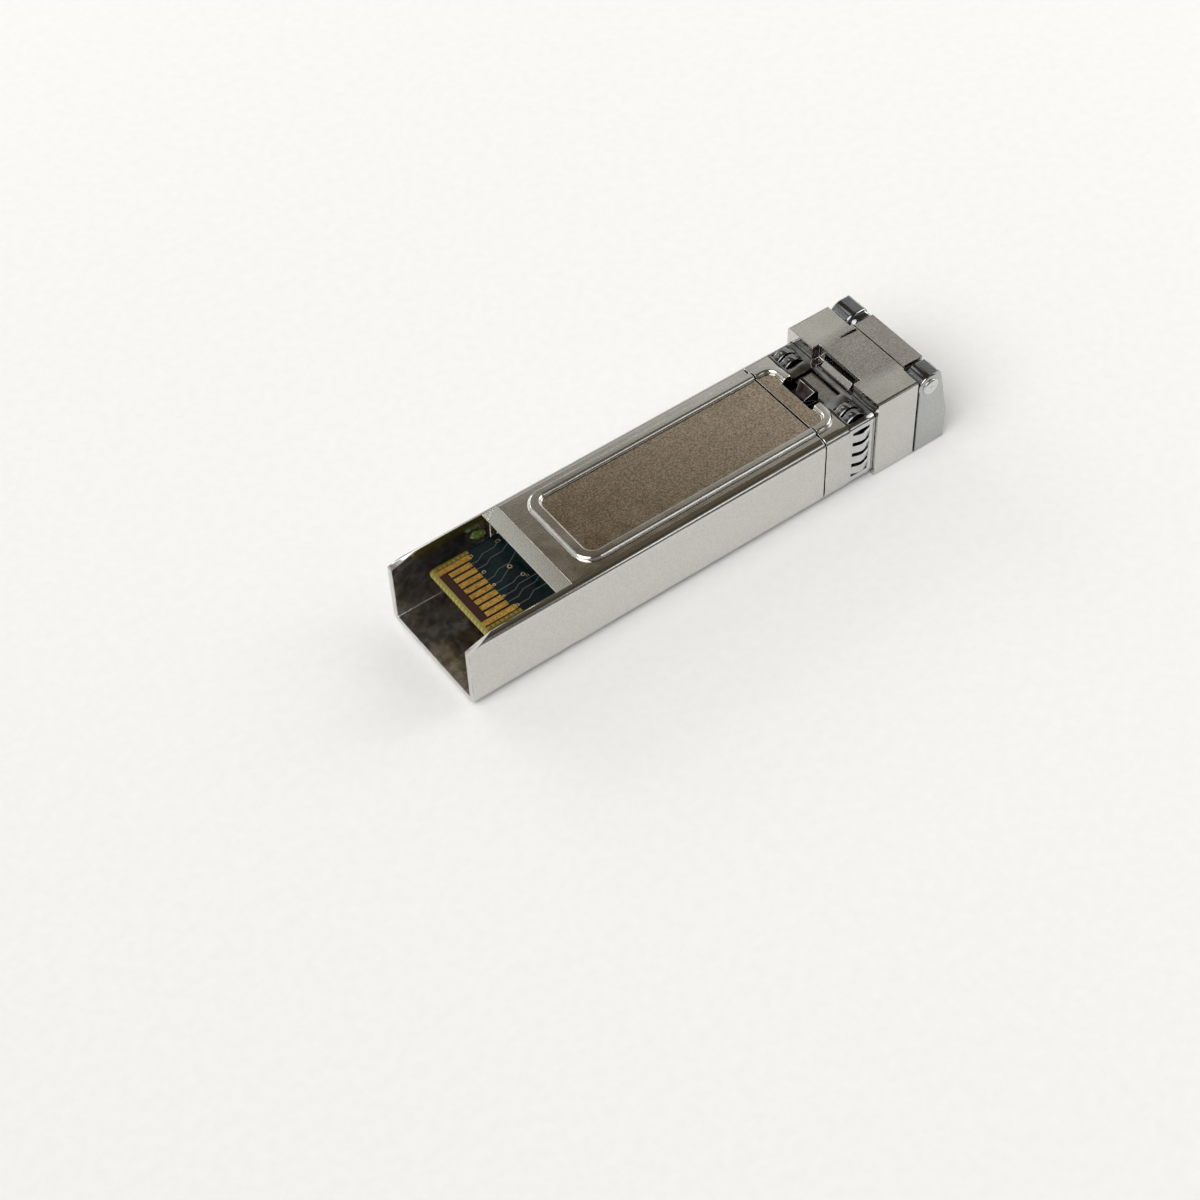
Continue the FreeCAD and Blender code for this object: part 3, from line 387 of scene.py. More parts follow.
def new_finish(name, metallic=0.0):
    finish = bpy.data.materials.new(name)
    finish.use_nodes = True
    tree = finish.node_tree
    tree.nodes.clear()
    shader = node(tree, "ShaderNodeBsdfPrincipled", (600, 0))
    shader.inputs["Metallic"].default_value = metallic
    end = node(tree, "ShaderNodeOutputMaterial", (900, 0))
    wire(tree, shader.outputs["BSDF"], end.inputs["Surface"])
    return finish, tree, shader


def surface(tree, shader, colour, rough):
    wire(tree, colour, shader.inputs["Base Color"])
    wire(tree, rough, shader.inputs["Roughness"])


def relief(tree, shader, height, distance):
    bump = node(tree, "ShaderNodeBump", (350, -350))
    dial(bump, Strength=1.0, Distance=distance * MM)
    wire(tree, height, bump.inputs["Height"])
    wire(tree, bump.outputs["Normal"], shader.inputs["Normal"])


# A part of a piece with its own tint, from dull to bright, and its own extra roughness.
# The tint follows the grain, or smudges of the size that is given
Patch = namedtuple("Patch", "low high fade dull bright rougher smudges", defaults=[None])


def plated(name, bright, dull, rough, depth=0.0022, patches=()):
    finish, tree, shader = new_finish(name, metallic=1.0)
    grit = effect(tree, CAST_GRAIN, (-800, -250), Size=6500.0, Pits=0.25)
    marks = effect(tree, HANDLING, (-800, 100))
    tone = grit.outputs["Tone"]
    colour = blended(tree, (-300, 250), tone, dull, bright)
    smear = ranged(tree, (-550, 0), marks.outputs["Smudge"], low=rough[0], high=rough[1])
    scuff = ranged(tree, (-550, -150), marks.outputs["Scratch"], high=0.08)
    sheen = combined(tree, (-300, 0), "ADD", smear, scuff)
    for number, patch in enumerate(patches):
        level = 450 + 250 * number
        mask = zone(tree, (-800, level), patch.low, patch.high, patch.fade)
        mix = tone
        if patch.smudges:
            blots = effect(tree, HANDLING, (-800, level + 120), Smudge_Size=patch.smudges)
            mix = blots.outputs["Smudge"]
        tint = blended(tree, (-500, level), mix, patch.dull, patch.bright)
        colour = blended(tree, (-200, level), mask, colour, tint)
        extra = ranged(tree, (-200, level - 120), mask, high=patch.rougher)
        sheen = combined(tree, (0, level - 120), "ADD", sheen, extra)
    surface(tree, shader, colour, sheen)
    relief(tree, shader, grit.outputs["Height"], depth)
    return finish


# A smooth, smudged metal for the eased edges
def eased_edge_finish(name, colour):
    finish, tree, shader = new_finish(name, metallic=1.0)
    marks = effect(tree, HANDLING, (-800, 100), Smudge_Size=900.0, Scratch_Size=2200.0)
    smudge = marks.outputs["Smudge"]
    tint = blended(tree, (-300, 200), smudge, colour, darkened(colour, 0.62))
    surface(tree, shader, tint, ranged(tree, (-300, 0), smudge, low=0.09, high=0.24))
    return finish


def turned(name, colour):
    finish, tree, shader = new_finish(name, metallic=1.0)
    place = on_piece(tree, (-1000, 0))
    rings = pattern(tree, WAVE, (-750, 0), place, Scale=1600.0, Distortion=1.5, Detail=3.0)
    groove = rings.outputs["Fac"]
    marks = effect(tree, HANDLING, (-750, -300), Smudge_Size=500.0)
    tint = blended(tree, (-300, 200), groove, darkened(colour, 0.8), colour)
    sheen = ranged(tree, (-300, -100), marks.outputs["Smudge"], low=0.22, high=0.36)
    surface(tree, shader, tint, sheen)
    relief(tree, shader, groove, 0.004)
    return finish


def moulded(name, colour, rough, grain=5000.0, depth=0.004):
    finish, tree, shader = new_finish(name)
    grit = effect(tree, CAST_GRAIN, (-800, -100), Size=grain, Pits=0.4)
    marks = effect(tree, HANDLING, (-800, 200))
    tint = blended(tree, (-300, 200), grit.outputs["Tone"], darkened(colour, 0.7), colour)
    sheen = ranged(tree, (-300, 0), marks.outputs["Smudge"], low=rough, high=rough + 0.15)
    surface(tree, shader, tint, sheen)
    relief(tree, shader, grit.outputs["Height"], depth)
    return finish


def gilded(name):
    finish, tree, shader = new_finish(name, metallic=1.0)
    grit = effect(tree, CAST_GRAIN, (-800, -200), Size=4200.0, Pits=0.2)
    marks = effect(tree, HANDLING, (-800, 150), Smudge_Size=700.0)
    tone = grit.outputs["Tone"]
    tint = blended(tree, (-300, 200), tone, (0.60, 0.30, 0.045), (0.98, 0.62, 0.17))
    sheen = ranged(tree, (-300, 0), marks.outputs["Smudge"], low=0.24, high=0.42)
    surface(tree, shader, tint, sheen)
    relief(tree, shader, grit.outputs["Height"], 0.004)
    return finish


# Where the board's top is bare laminate, and the dark strip behind the contacts
BARE_MARGINS = (
    ((3.0, 4.1, 6.0), (7.35, 6.0, 6.5)),
    ((3.0, -6.0, 6.0), (7.35, -4.1, 6.5)),
)
DARK_STRIP = ((3.5, -3.75, 6.0), (4.3, 3.75, 6.5))


def glass_weave(tree, place):
    threads = []
    for way, level in (("X", 250), ("Y", 0)):
        thread = pattern(tree, WAVE, (-1000, level), place, Scale=620.0, Distortion=0.6)
        thread.bands_direction = way
        threads.append(thread.outputs["Fac"])
    return combined(tree, (-750, 150), "MULTIPLY", *threads)


def masked_board(name):
    # Dark solder mask over a glass weave; bare laminate where the edge is cut and bevelled
    finish, tree, shader = new_finish(name)
    shader.inputs["Specular IOR Level"].default_value = 0.22
    place = on_piece(tree, (-1300, 0))
    facing = node(tree, "ShaderNodeNewGeometry", (-1300, -400))
    upward = axes(tree, (-1100, -400), facing.outputs["True Normal"])["Z"]
    flat = combined(tree, (-900, -400), "ABSOLUTE", upward)
    edge = ranged(tree, (-700, -400), flat, begin=0.97, end=0.93)
    cloth = glass_weave(tree, place)
    pour = pattern(tree, NOISE, (-1000, 500), place, Scale=420.0, Detail=2.0)
    copper = ranged(tree, (-750, 500), pour.outputs["Fac"], begin=0.46, end=0.52)
    mask = blended(tree, (-500, 500), copper, (0.002, 0.006, 0.007), (0.004, 0.012, 0.013))
    glass = blended(tree, (-500, 200), cloth, (0.17, 0.145, 0.03), (0.40, 0.335, 0.085))
    bare = blended(tree, (-500, 900), cloth, (0.10, 0.075, 0.012), (0.22, 0.165, 0.035))
    for number, (low, high) in enumerate(BARE_MARGINS):
        margin = zone(tree, (-750, 1000 + 250 * number), low, high, 0.06)
        mask = blended(tree, (-250, 900 + 200 * number), margin, mask, bare)
    strip = zone(tree, (-750, 750), *DARK_STRIP, 0.05)
    mask = blended(tree, (-100, 500), strip, mask, (0.034, 0.014, 0.011))
    colour = blended(tree, (100, 300), edge, mask, glass)
    surface(tree, shader, colour, ranged(tree, (0, 0), edge, low=0.24, high=0.62))
    relief(tree, shader, cloth, 0.004)
    return finish


# Painted shade and reflection: the inside of the bay is mottled darker, for the shade and the dark
# inside that it reflects
BAY_PAINTED_SHADE = Patch(
    low=(-1.0, -6.35, 0.35), high=(10.42, 6.35, 7.6), fade=0.35,
    dull=(0.32, 0.295, 0.295), bright=(0.84, 0.825, 0.815), rougher=0.12, smudges=1100.0,
)
# Painted reflection: the land's top is darker and browner, for the brown room that it reflects
LABEL_LAND_PAINTED_REFLECTION = Patch(
    low=(14.6, -4.5, 7.9), high=(43.6, 4.5, 8.3), fade=0.15,
    dull=(0.25, 0.203, 0.15), bright=(0.66, 0.56, 0.445), rougher=0.03,
)
# Painted shade: the nose is near black where it lies under the collar
UNDER_COLLAR_PAINTED_SHADE = Patch(
    low=(44.1, -6.52, 0.18), high=(47.5, 6.52, 7.95), fade=0.05,
    dull=(0.02, 0.019, 0.018), bright=(0.08, 0.076, 0.073), rougher=0.12, smudges=600.0,
)
# Painted reflection: the roof is darker in the middle
ROOF_MIDDLE_PAINTED_REFLECTION = Patch(
    low=(44.5, -4.4, 7.8), high=(54.5, 3.9, 11.2), fade=1.5,
    dull=(0.30, 0.275, 0.27), bright=(0.57, 0.535, 0.52), rougher=0.05,
)
# Painted shade: the notch in the roof is dark
ROOF_NOTCH_PAINTED_SHADE = Patch(
    low=(47.3, -3.25, 7.8), high=(48.36, 3.25, 9.46), fade=0.05,
    dull=(0.07, 0.055, 0.055), bright=(0.20, 0.165, 0.16), rougher=0.05, smudges=900.0,
)
# Painted light: the notch's end wall is lighter than the rest of the notch
NOTCH_WALL_PAINTED_LIGHT = Patch(
    low=(47.95, -2.85, 7.8), high=(48.65, 2.85, 9.46), fade=0.1,
    dull=(0.42, 0.405, 0.38), bright=(0.70, 0.675, 0.635), rougher=0.1,
)
# Painted shade: the lever's bar is darker where it lies in the roof's notch
LEVER_BAR_PAINTED_SHADE = Patch(
    low=(47.5, -3.0, 7.3), high=(49.3, 3.0, 8.4), fade=0.08,
    dull=(0.28, 0.265, 0.25), bright=(0.47, 0.445, 0.42), rougher=0.05,
)
# Painted shade: the lever's tail and boss are near black, in the dark opening of the latch
LEVER_TAIL_PAINTED_SHADE = Patch(
    low=(42.0, -3.0, 6.0), high=(44.85, 3.0, 9.2), fade=0.06,
    dull=(0.02, 0.016, 0.016), bright=(0.085, 0.069, 0.069), rougher=0.0, smudges=900.0,
)
# Painted shade: the lever's rear plate is darker where it lies in the collar's channel
LEVER_REAR_PAINTED_SHADE = Patch(
    low=(44.7, -3.0, 6.0), high=(47.5, 3.0, 8.2), fade=0.06,
    dull=(0.24, 0.228, 0.21), bright=(0.44, 0.42, 0.39), rougher=0.0,
)
# Painted reflection: the collar's top is darker, for the dark room that it reflects
COLLAR_TOP_PAINTED_REFLECTION = Patch(
    low=(43.0, -6.4, 7.7), high=(48.0, 6.4, 9.2), fade=0.2,
    dull=(0.20, 0.205, 0.21), bright=(0.38, 0.385, 0.39), rougher=0.0, smudges=600.0,
)
# Painted reflection: the knuckles are a darker slate, for the dark room that their tops reflect;
# the far zone goes on over the shoulder
NEAR_KNUCKLE_PAINTED_REFLECTION, FAR_KNUCKLE_PAINTED_REFLECTION = (
    Patch(
        low=(52.3, near, 7.0), high=(56.0, far, 9.8), fade=0.1,
        dull=(0.155, 0.163, 0.175), bright=(0.245, 0.256, 0.27), rougher=0.0,
    )
    for near, far in ((-6.75, -4.4), (3.2, 6.75))
)
# Painted shade: the arm's rim along the gap to the head is near black
ARM_RIM_PAINTED_SHADE = Patch(
    low=(52.3, -7.2, -0.6), high=(52.72, 7.2, 8.0), fade=0.05,
    dull=(0.05, 0.05, 0.048), bright=(0.11, 0.11, 0.105), rougher=0.0,
)

shell_plate = plated(
    "shell_plate", (0.68, 0.672, 0.64), (0.57, 0.562, 0.53), (0.07, 0.17),
    patches=[BAY_PAINTED_SHADE, LABEL_LAND_PAINTED_REFLECTION],
)
# Painted shade: the nose's nickel is a slightly darker copy of the shell's, for the darker
# reflection along the nose
nose_plate = plated(
    "nose_plate", (0.64, 0.635, 0.60), (0.535, 0.53, 0.495), (0.08, 0.20),
    patches=[LABEL_LAND_PAINTED_REFLECTION, UNDER_COLLAR_PAINTED_SHADE, ROOF_MIDDLE_PAINTED_REFLECTION, ROOF_NOTCH_PAINTED_SHADE, NOTCH_WALL_PAINTED_LIGHT],
)
bail_plate = plated(
    "bail_plate", (0.495, 0.505, 0.49), (0.405, 0.415, 0.405), (0.07, 0.18),
    patches=[NEAR_KNUCKLE_PAINTED_REFLECTION, FAR_KNUCKLE_PAINTED_REFLECTION, ARM_RIM_PAINTED_SHADE],
)
lever_plate = plated(
    "lever_plate", (0.56, 0.53, 0.505), (0.36, 0.335, 0.32), (0.12, 0.24), depth=0.005,
    patches=[LEVER_REAR_PAINTED_SHADE, LEVER_TAIL_PAINTED_SHADE, LEVER_BAR_PAINTED_SHADE],
)
spring_sheet = plated(
    "spring_sheet", (0.64, 0.64, 0.62), (0.52, 0.52, 0.51), (0.06, 0.16), patches=[COLLAR_TOP_PAINTED_REFLECTION]
)
# Painted highlight: the rivet heads are plated lighter than the bail they sit on
rivet_plate = plated(
    "rivet_plate", (0.68, 0.68, 0.665), (0.58, 0.58, 0.57), (0.06, 0.15), depth=0.0015
)
hole_ring = plated("hole_ring", (0.80, 0.66, 0.46), (0.55, 0.42, 0.26), (0.12, 0.3))
# Painted highlight: the eased edges get a lighter nickel than the bail and the nose, partly rubbed
# edge and partly painted highlight
bright_edge = eased_edge_finish("bright_edge", (0.72, 0.71, 0.685))
dark_edge = eased_edge_finish("dark_edge", (0.30, 0.285, 0.275))
pin_steel = turned("ground_pin", (0.56, 0.56, 0.57))
barrel_steel = turned("turned_barrel", (0.68, 0.68, 0.69))
can_metal = turned("flashed_can", (0.78, 0.62, 0.32))
zirconia = moulded("zirconia", (0.90, 0.89, 0.85), 0.12, depth=0.001)
polyimide = moulded("polyimide_film", (0.55, 0.28, 0.05), 0.28)
elastomer = moulded("dark_elastomer", (0.035, 0.035, 0.038), 0.65)
chip_epoxy = moulded("chip_epoxy", (0.035, 0.035, 0.036), 0.5)
pad_silicone = moulded("pad_silicone", (0.38, 0.48, 0.55), 0.6)
fired_tan = moulded("fired_tan", (0.52, 0.38, 0.24), 0.4)
fired_black = moulded("fired_black", (0.03, 0.03, 0.03), 0.35)
green_resin = moulded("green_resin", (0.050, 0.085, 0.008), 0.22, grain=1600.0, depth=0.02)
masked_copper = moulded("masked_copper", (0.050, 0.062, 0.062), 0.35, depth=0.002)
board_mask = masked_board("board_mask")
hard_gold = gilded("hard_gold")

FINISHES = {
    "rear_shell": shell_plate,
    "nose_housing": nose_plate,
    "bail": bail_plate,
    "cam_shaft": pin_steel,
    "cam_bush": pin_steel,
    "latch_lever": lever_plate,
    "latch_pivot_pin": pin_steel,
    "latch_spring": spring_sheet,
    "emi_collar": spring_sheet,
    "circuit_board": board_mask,
    "upper_contacts": hard_gold,
    "lower_contacts": hard_gold,
    "tosa_barrel": barrel_steel,
    "rosa_barrel": barrel_steel,
    "tosa_sleeve": zirconia,
    "rosa_sleeve": zirconia,
    "tosa_can": can_metal,
    "rosa_can": can_metal,
    "tosa_flex": polyimide,
    "rosa_flex": polyimide,
    "nozzle_gasket": elastomer,
    "barrel_retainer": barrel_steel,
    "laser_driver_chip": chip_epoxy,
    "receiver_amplifier_chip": chip_epoxy,
    "microcontroller_chip": chip_epoxy,
    "thermal_pad": pad_silicone,
    "chip_capacitors": fired_tan,
    "chip_resistors": fired_black,
}
for solid, finish in FINISHES.items():
    coat(frame["nodes"][solid], finish)


# Formed and cast pieces again, with their sharp edges eased

# Angles in degrees, lengths in millimetres
SHARP, FAINT, FLAT = 32, 15, 0.6
WELD, NEARLY = 0.002, 0.01


def eased_copy(
    solid, name, body, ease, finishes, least=0.4, degrees=SHARP, also=None, spared=None, shaped=None
):
    # The second finish is for the eased edges, which are those longer than least that bend by
    # more than degrees. Also adds edges to them, spared takes edges away, and shaped works on
    # the piece first
    piece = named(copy_of(frame["nodes"][solid]), name)
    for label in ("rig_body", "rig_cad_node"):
        del piece[label]
    piece.parent = None
    coat(piece, *finishes)
    work_on(piece)
    bpy.ops.mesh.select_all(action="SELECT")
    bpy.ops.mesh.remove_doubles(threshold=WELD * MM)
    bpy.ops.mesh.dissolve_limited(angle_limit=math.radians(FLAT), use_dissolve_boundaries=False)
    if shaped:
        shaped(piece)

    def eased(edge):
        if spared and spared(edge):
            return False
        if also and also(edge):
            return True
        return edge.calc_length() > least * MM and bent(edge, degrees)

    pick(piece, "EDGE", eased)
    bpy.ops.transform.edge_bevelweight(value=1.0)
    put_down()
    dress(
        piece, "BEVEL", width=ease * MM, segments=3, limit_method="WEIGHT",
        use_clamp_overlap=False, material=1,
    )
    smooth(piece, 35)
    dress(piece, "WEIGHTED_NORMAL", keep_sharp=True, weight=80)
    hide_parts(solid)
    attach(piece, body)
    return piece


BEAD_REAR, BEAD_FRONT, BEAD_HALF = 13.5, 43.6, 5.3
BEAD_FOOT, BEAD_CREST = 8.05, 8.6
ROOF_START, ROOF_LOW, SEAM = 11.9, 8.0, 41.3
BAY_END, BAY_WALL, BAY_RIM = 11.2, 5.8, 6.9


def bead_edge(edge):
    u, y, z = middle(edge)
    along = BEAD_REAR < u < BEAD_FRONT and abs(y) < BEAD_HALF
    return along and BEAD_FOOT < z < BEAD_CREST and bent(edge, SHARP)


def shell_line(edge):
    # The bead, and the faint line where the shoulder meets the roof
    u, y, z = middle(edge)
    at_shoulder = abs(u - ROOF_START) < 0.05 and z > ROOF_LOW and bent(edge, FAINT)
    return at_shoulder or bead_edge(edge)


def nose_line(edge):
    # The bead, and the short edges round the joint with the shell
    u, y, z = middle(edge)
    at_joint = abs(u - SEAM) < NEARLY and bent(edge, SHARP)
    return at_joint or bead_edge(edge)


def wall_rim(edge):
    u, y, z = middle(edge)
    return u < BAY_END and abs(y) > BAY_WALL and z > BAY_RIM


# The far knuckle is wider than the near one, and a slimmer shoulder goes on from it
# to the lever's pad
HINGE_U, HINGE_Z = 54.0, 8.05
KNUCKLE_REAR, KNUCKLE_END = 52.5, 4.6
KNUCKLE_STEP, SHOULDER_END, SHOULDER_SHARE = 4.25, 3.36, 0.90


def far_shoulder(piece):
    def inner_end(face):
        u, y, z = middle(face)
        return abs(y - KNUCKLE_END) < NEARLY and face.normal.y < -0.99 and u > KNUCKLE_REAR

    pick(piece, "FACE", inner_end)
    drawn_out(y=KNUCKLE_STEP - KNUCKLE_END)
    drawn_out()
    bpy.ops.transform.resize(
        value=(SHOULDER_SHARE, 1.0, SHOULDER_SHARE), center_override=at(HINGE_U, 0.0, HINGE_Z)
    )
    drawn_out(y=SHOULDER_END - KNUCKLE_STEP)


def shoulder_root(edge):
    u, y, z = middle(edge)
    return abs(y - KNUCKLE_STEP) < NEARLY and not edge.is_convex


# The lever's pad has a thin lip that reaches back to the roof
PAD_REAR, PAD_FOOT = 52.895, 8.6
LIP_REACH, LIP_BASE = 0.19, 9.33


def pad_lip(piece):
    def on_rear(face):
        u, y, z = middle(face)
        return face.normal.x < -0.9 and abs(u - PAD_REAR) < 0.12 and z > PAD_FOOT

    def on_lip(corner):
        u, y, z = where(corner.co)
        return abs(u - PAD_REAR) < 0.02 and z > LIP_BASE + 0.05

    pick(piece, "FACE", on_rear)
    bpy.ops.mesh.bisect(plane_co=at(PAD_REAR, 0.0, LIP_BASE), plane_no=(0.0, 0.0, 1.0))
    pick(piece, "VERT", on_lip)
    moved(u=-LIP_REACH)


def lip_root(edge):
    u, y, z = middle(edge)
    return abs(u - PAD_REAR) < 0.05 and abs(z - LIP_BASE) < 0.02


formed_shell = eased_copy(
    "rear_shell", "formed_shell", "module", 0.07, (shell_plate, bright_edge),
    least=0.0, also=shell_line, spared=wall_rim,
)
cast_nose = eased_copy(
    "nose_housing", "cast_nose", "module", 0.07, (nose_plate, bright_edge), also=nose_line
)
formed_bail = eased_copy(
    "bail", "formed_bail", "bail", 0.08, (bail_plate, bright_edge),
    spared=shoulder_root, shaped=far_shoulder,
)
formed_lever = eased_copy(
    "latch_lever", "formed_lever", "latch_lever", 0.04, (lever_plate, dark_edge),
    least=0.8, spared=lip_root, shaped=pad_lip,
)

# The leaf spring flattens on its seat as the lever rocks down on it; here it is only given a mesh
# of its own
leaf_spring = eased_copy(
    "latch_spring", "leaf_spring", "module", 0.02, (spring_sheet, bright_edge),
    least=0.0, degrees=60,
)
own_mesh(leaf_spring)


# Spring collar: one formed sheet band with windows, and a row of bowed fingers across each

BAND_REAR, BAND_FRONT = 44.2, 47.35
BAND_HALF, BAND_BASE, BAND_TOP = 6.6, 0.1, 8.0
BAND_CORNER, BAND_SHEET = 0.65, 0.15
WINDOW_REAR, WINDOW_FRONT = 44.6, 46.65
SIDE_WINDOW_LOW, SIDE_WINDOW_HIGH = 1.17, 7.22
TOP_WINDOW_INNER, TOP_WINDOW_OUTER = 3.45, 5.9
BASE_WINDOW_HALF, LEVER_WAY_HALF = 5.2, 2.25

# A row's first finger starts at its edge; its strip lies on the seat and bows out to the crest
FINGER_WIDTH, FINGER_PITCH = 0.98, 1.45
FINGER_FOOT, FINGER_LEAD = 0.12, 0.08
FINGER_STATIONS, BOW_POWER = 12, 1.15
SIDE_EDGE, SIDE_SEAT, SIDE_SHEET, SIDE_CREST, SIDE_COUNT = 1.58, 6.46, 0.13, 0.28, 4
TOP_WIDTH, TOP_PITCH, TOP_EDGE = 0.86, 1.15, 3.72
TOP_SEAT, TOP_SKIN, TOP_CREST, TOP_COUNT = 7.86, 7.99, 0.55, 2
BASE_SKIN, BASE_SEAT, BASE_CREST, BASE_COUNT = 0.11, 0.24, 0.36, 7


def collar_band():
    band = block(
        "collar_band", (BAND_REAR, -BAND_HALF, BAND_BASE), (BAND_FRONT, BAND_HALF, BAND_TOP)
    )
    work_on(band)
    pick(band, "FACE", lambda face: abs(face.normal.x) > 0.9)
    bpy.ops.mesh.delete(type="ONLY_FACE")
    pick(band, "EDGE", lambda edge: abs(edge.verts[0].co.x - edge.verts[1].co.x) > MM)
    bpy.ops.mesh.bevel(offset=BAND_CORNER * MM, segments=5, affect="EDGES")
    for u in (WINDOW_REAR, WINDOW_FRONT):
        cut(u=u)
    for z in (SIDE_WINDOW_LOW, SIDE_WINDOW_HIGH):
        cut(z=z)
    for y in (
        -TOP_WINDOW_OUTER, -TOP_WINDOW_INNER, -LEVER_WAY_HALF,
        LEVER_WAY_HALF, TOP_WINDOW_INNER, TOP_WINDOW_OUTER,
        -BASE_WINDOW_HALF, BASE_WINDOW_HALF,
    ):
        cut(y=y)

    def opening(face):
        u, y, z = middle(face)
        along = WINDOW_REAR < u < WINDOW_FRONT
        if abs(y) > BAND_HALF - 0.1:
            return along and SIDE_WINDOW_LOW < z < SIDE_WINDOW_HIGH
        if z > BAND_TOP - 0.1:
            lever_way = abs(y) < LEVER_WAY_HALF and u < WINDOW_FRONT
            return lever_way or (along and TOP_WINDOW_INNER < abs(y) < TOP_WINDOW_OUTER)
        return z < BAND_BASE + 0.1 and along and abs(y) < BASE_WINDOW_HALF

    pick(band, "FACE", opening)
    bpy.ops.mesh.delete(type="FACE")
    put_down()
    dress(band, "SOLIDIFY", thickness=BAND_SHEET * MM, offset=-1.0)
    dress(
        band, "BEVEL", width=0.03 * MM, segments=2, limit_method="ANGLE",
        angle_limit=math.radians(50),
    )
    return band


def bowed(name, low, high, lift, crest):
    # A flat strip along u, raised station by station into a bow with flat feet
    strip = block(name, low, high)
    work_on(strip)
    start, end = low[0], high[0]
    stations = [
        start + (end - start) * share / FINGER_STATIONS for share in range(1, FINGER_STATIONS)
    ]
    for u in stations:
        cut(u=u)
    for u in stations:
        share = (u - start - FINGER_LEAD) / (end - start - 2 * FINGER_LEAD)
        rise = crest * math.sin(math.pi * min(1.0, max(0.0, share))) ** BOW_POWER
        pick(strip, "VERT", lambda corner: abs(where(corner.co)[0] - u) < 0.02)
        bpy.ops.transform.translate(value=Vector(lift) * rise * MM)
    put_down()
    dress(
        strip, "BEVEL", width=0.035 * MM, segments=2, limit_method="ANGLE",
        angle_limit=math.radians(60),
    )
    return strip


def spring_collar():
    rear, front = WINDOW_REAR - FINGER_FOOT, WINDOW_FRONT + FINGER_FOOT
    parts = [collar_band()]
    for side in (-1, 1):
        near, far = sorted((side * SIDE_SEAT, side * (SIDE_SEAT + SIDE_SHEET)))
        finger = bowed(
            "side_finger", (rear, near, SIDE_EDGE), (front, far, SIDE_EDGE + FINGER_WIDTH),
            (0, side, 0), SIDE_CREST,
        )
        parts += row_of(finger, SIDE_COUNT, z=FINGER_PITCH)
        edge = TOP_EDGE if side > 0 else -TOP_EDGE - TOP_WIDTH
        finger = bowed(
            "top_finger", (rear, edge, TOP_SEAT), (front, edge + TOP_WIDTH, TOP_SKIN),
            (0, 0, 1), TOP_CREST,
        )
        parts += row_of(finger, TOP_COUNT, y=side * TOP_PITCH)
    edge = -(BASE_COUNT // 2) * FINGER_PITCH - FINGER_WIDTH / 2
    finger = bowed(
        "base_finger", (rear, edge, BASE_SKIN), (front, edge + FINGER_WIDTH, BASE_SEAT),
        (0, 0, -1), BASE_CREST,
    )
    parts += row_of(finger, BASE_COUNT, y=FINGER_PITCH)
    collar = joined("spring_collar", parts)
    coat(collar, spring_sheet)
    smooth(collar, 40)
    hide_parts("emi_collar")
    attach(collar, "module")
    return collar


collar = spring_collar()


# Board detail: tracks under the mask, plated holes with their rings, a drop of resin

BOARD_TOP = 6.25
TRACK_WIDTH, TRACK_START = 0.11, 0.05
TRACK_SINK, TRACK_RISE = 0.01, 0.018
TRACKS = [
    [(6.7, 2.91), (7.5, 2.91), (8.3, 3.35), (9.6, 3.35), (10.2, 3.7)],
    [(6.7, 2.08), (7.9, 2.08), (8.6, 2.5), (9.9, 2.5), (10.9, 3.0)],
    [(6.7, 1.25), (7.0, 1.38)],
    [(6.7, 0.42), (7.6, 0.42), (8.4, 0.9), (9.6, 0.9), (10.9, 1.7)],
    [(6.7, -0.42), (7.8, -0.42), (8.6, 0.05), (9.3, 0.42)],
    [(6.7, -1.25), (8.6, -1.25), (9.2, -0.95), (9.75, -0.98)],
    [(6.7, -2.08), (8.2, -2.08), (8.9, -1.7), (10.9, -1.7)],
    [(6.7, -2.91), (8.0, -2.91), (8.8, -2.45), (10.2, -2.45), (10.9, -2.1)],
    [(7.1, -3.73), (8.6, -3.73), (9.5, -3.2), (10.9, -3.2)],
]

# Place and ring radius of each hole; the last four lie at the front ends of contacts
HOLES = [
    (10.3, 3.8, 0.26), (9.4, 0.5, 0.26), (9.85, -1.0, 0.24), (10.1, -1.35, 0.14),
    (7.12, 1.42, 0.2),
    (7.25, 3.73, 0.2), (7.0, -0.42, 0.17), (7.3, -3.73, 0.2), (6.95, -2.08, 0.16),
]
RING_HEIGHT, RING_MIDDLE, HOLE_DEPTH, RING_EASE = 0.05, 0.005, 0.04, 0.012

RESIN_U, RESIN_Y = 9.25, 5.55
RESIN_RADIUS, RESIN_STRETCH = 0.5, (1.7, 0.9, 0.4)

# Place, reach and height of the lumps in the resin
LUMPS = [
    (8.7, 5.6, 0.35, 0.14), (9.4, 5.4, 0.3, -0.09),
    (9.8, 5.65, 0.35, 0.10), (9.1, 5.85, 0.3, 0.22),
]


def track(number, points):
    # A track lies as a thin ribbon on the board, drawn out run by run from its first edge
    u, y = points[0]
    low = (u, y - TRACK_WIDTH / 2, BOARD_TOP - TRACK_SINK)
    u += TRACK_START
    ribbon = block(f"track_{number}", low, (u, y + TRACK_WIDTH / 2, BOARD_TOP + TRACK_RISE))
    work_on(ribbon)
    for next_u, next_y in points[1:]:
        pick(ribbon, "FACE", lambda face: face.normal.x > 0.7 and abs(middle(face)[0] - u) < NEARLY)
        drawn_out(u=next_u - u, y=next_y - y)
        u, y = next_u, next_y
    put_down()
    return ribbon


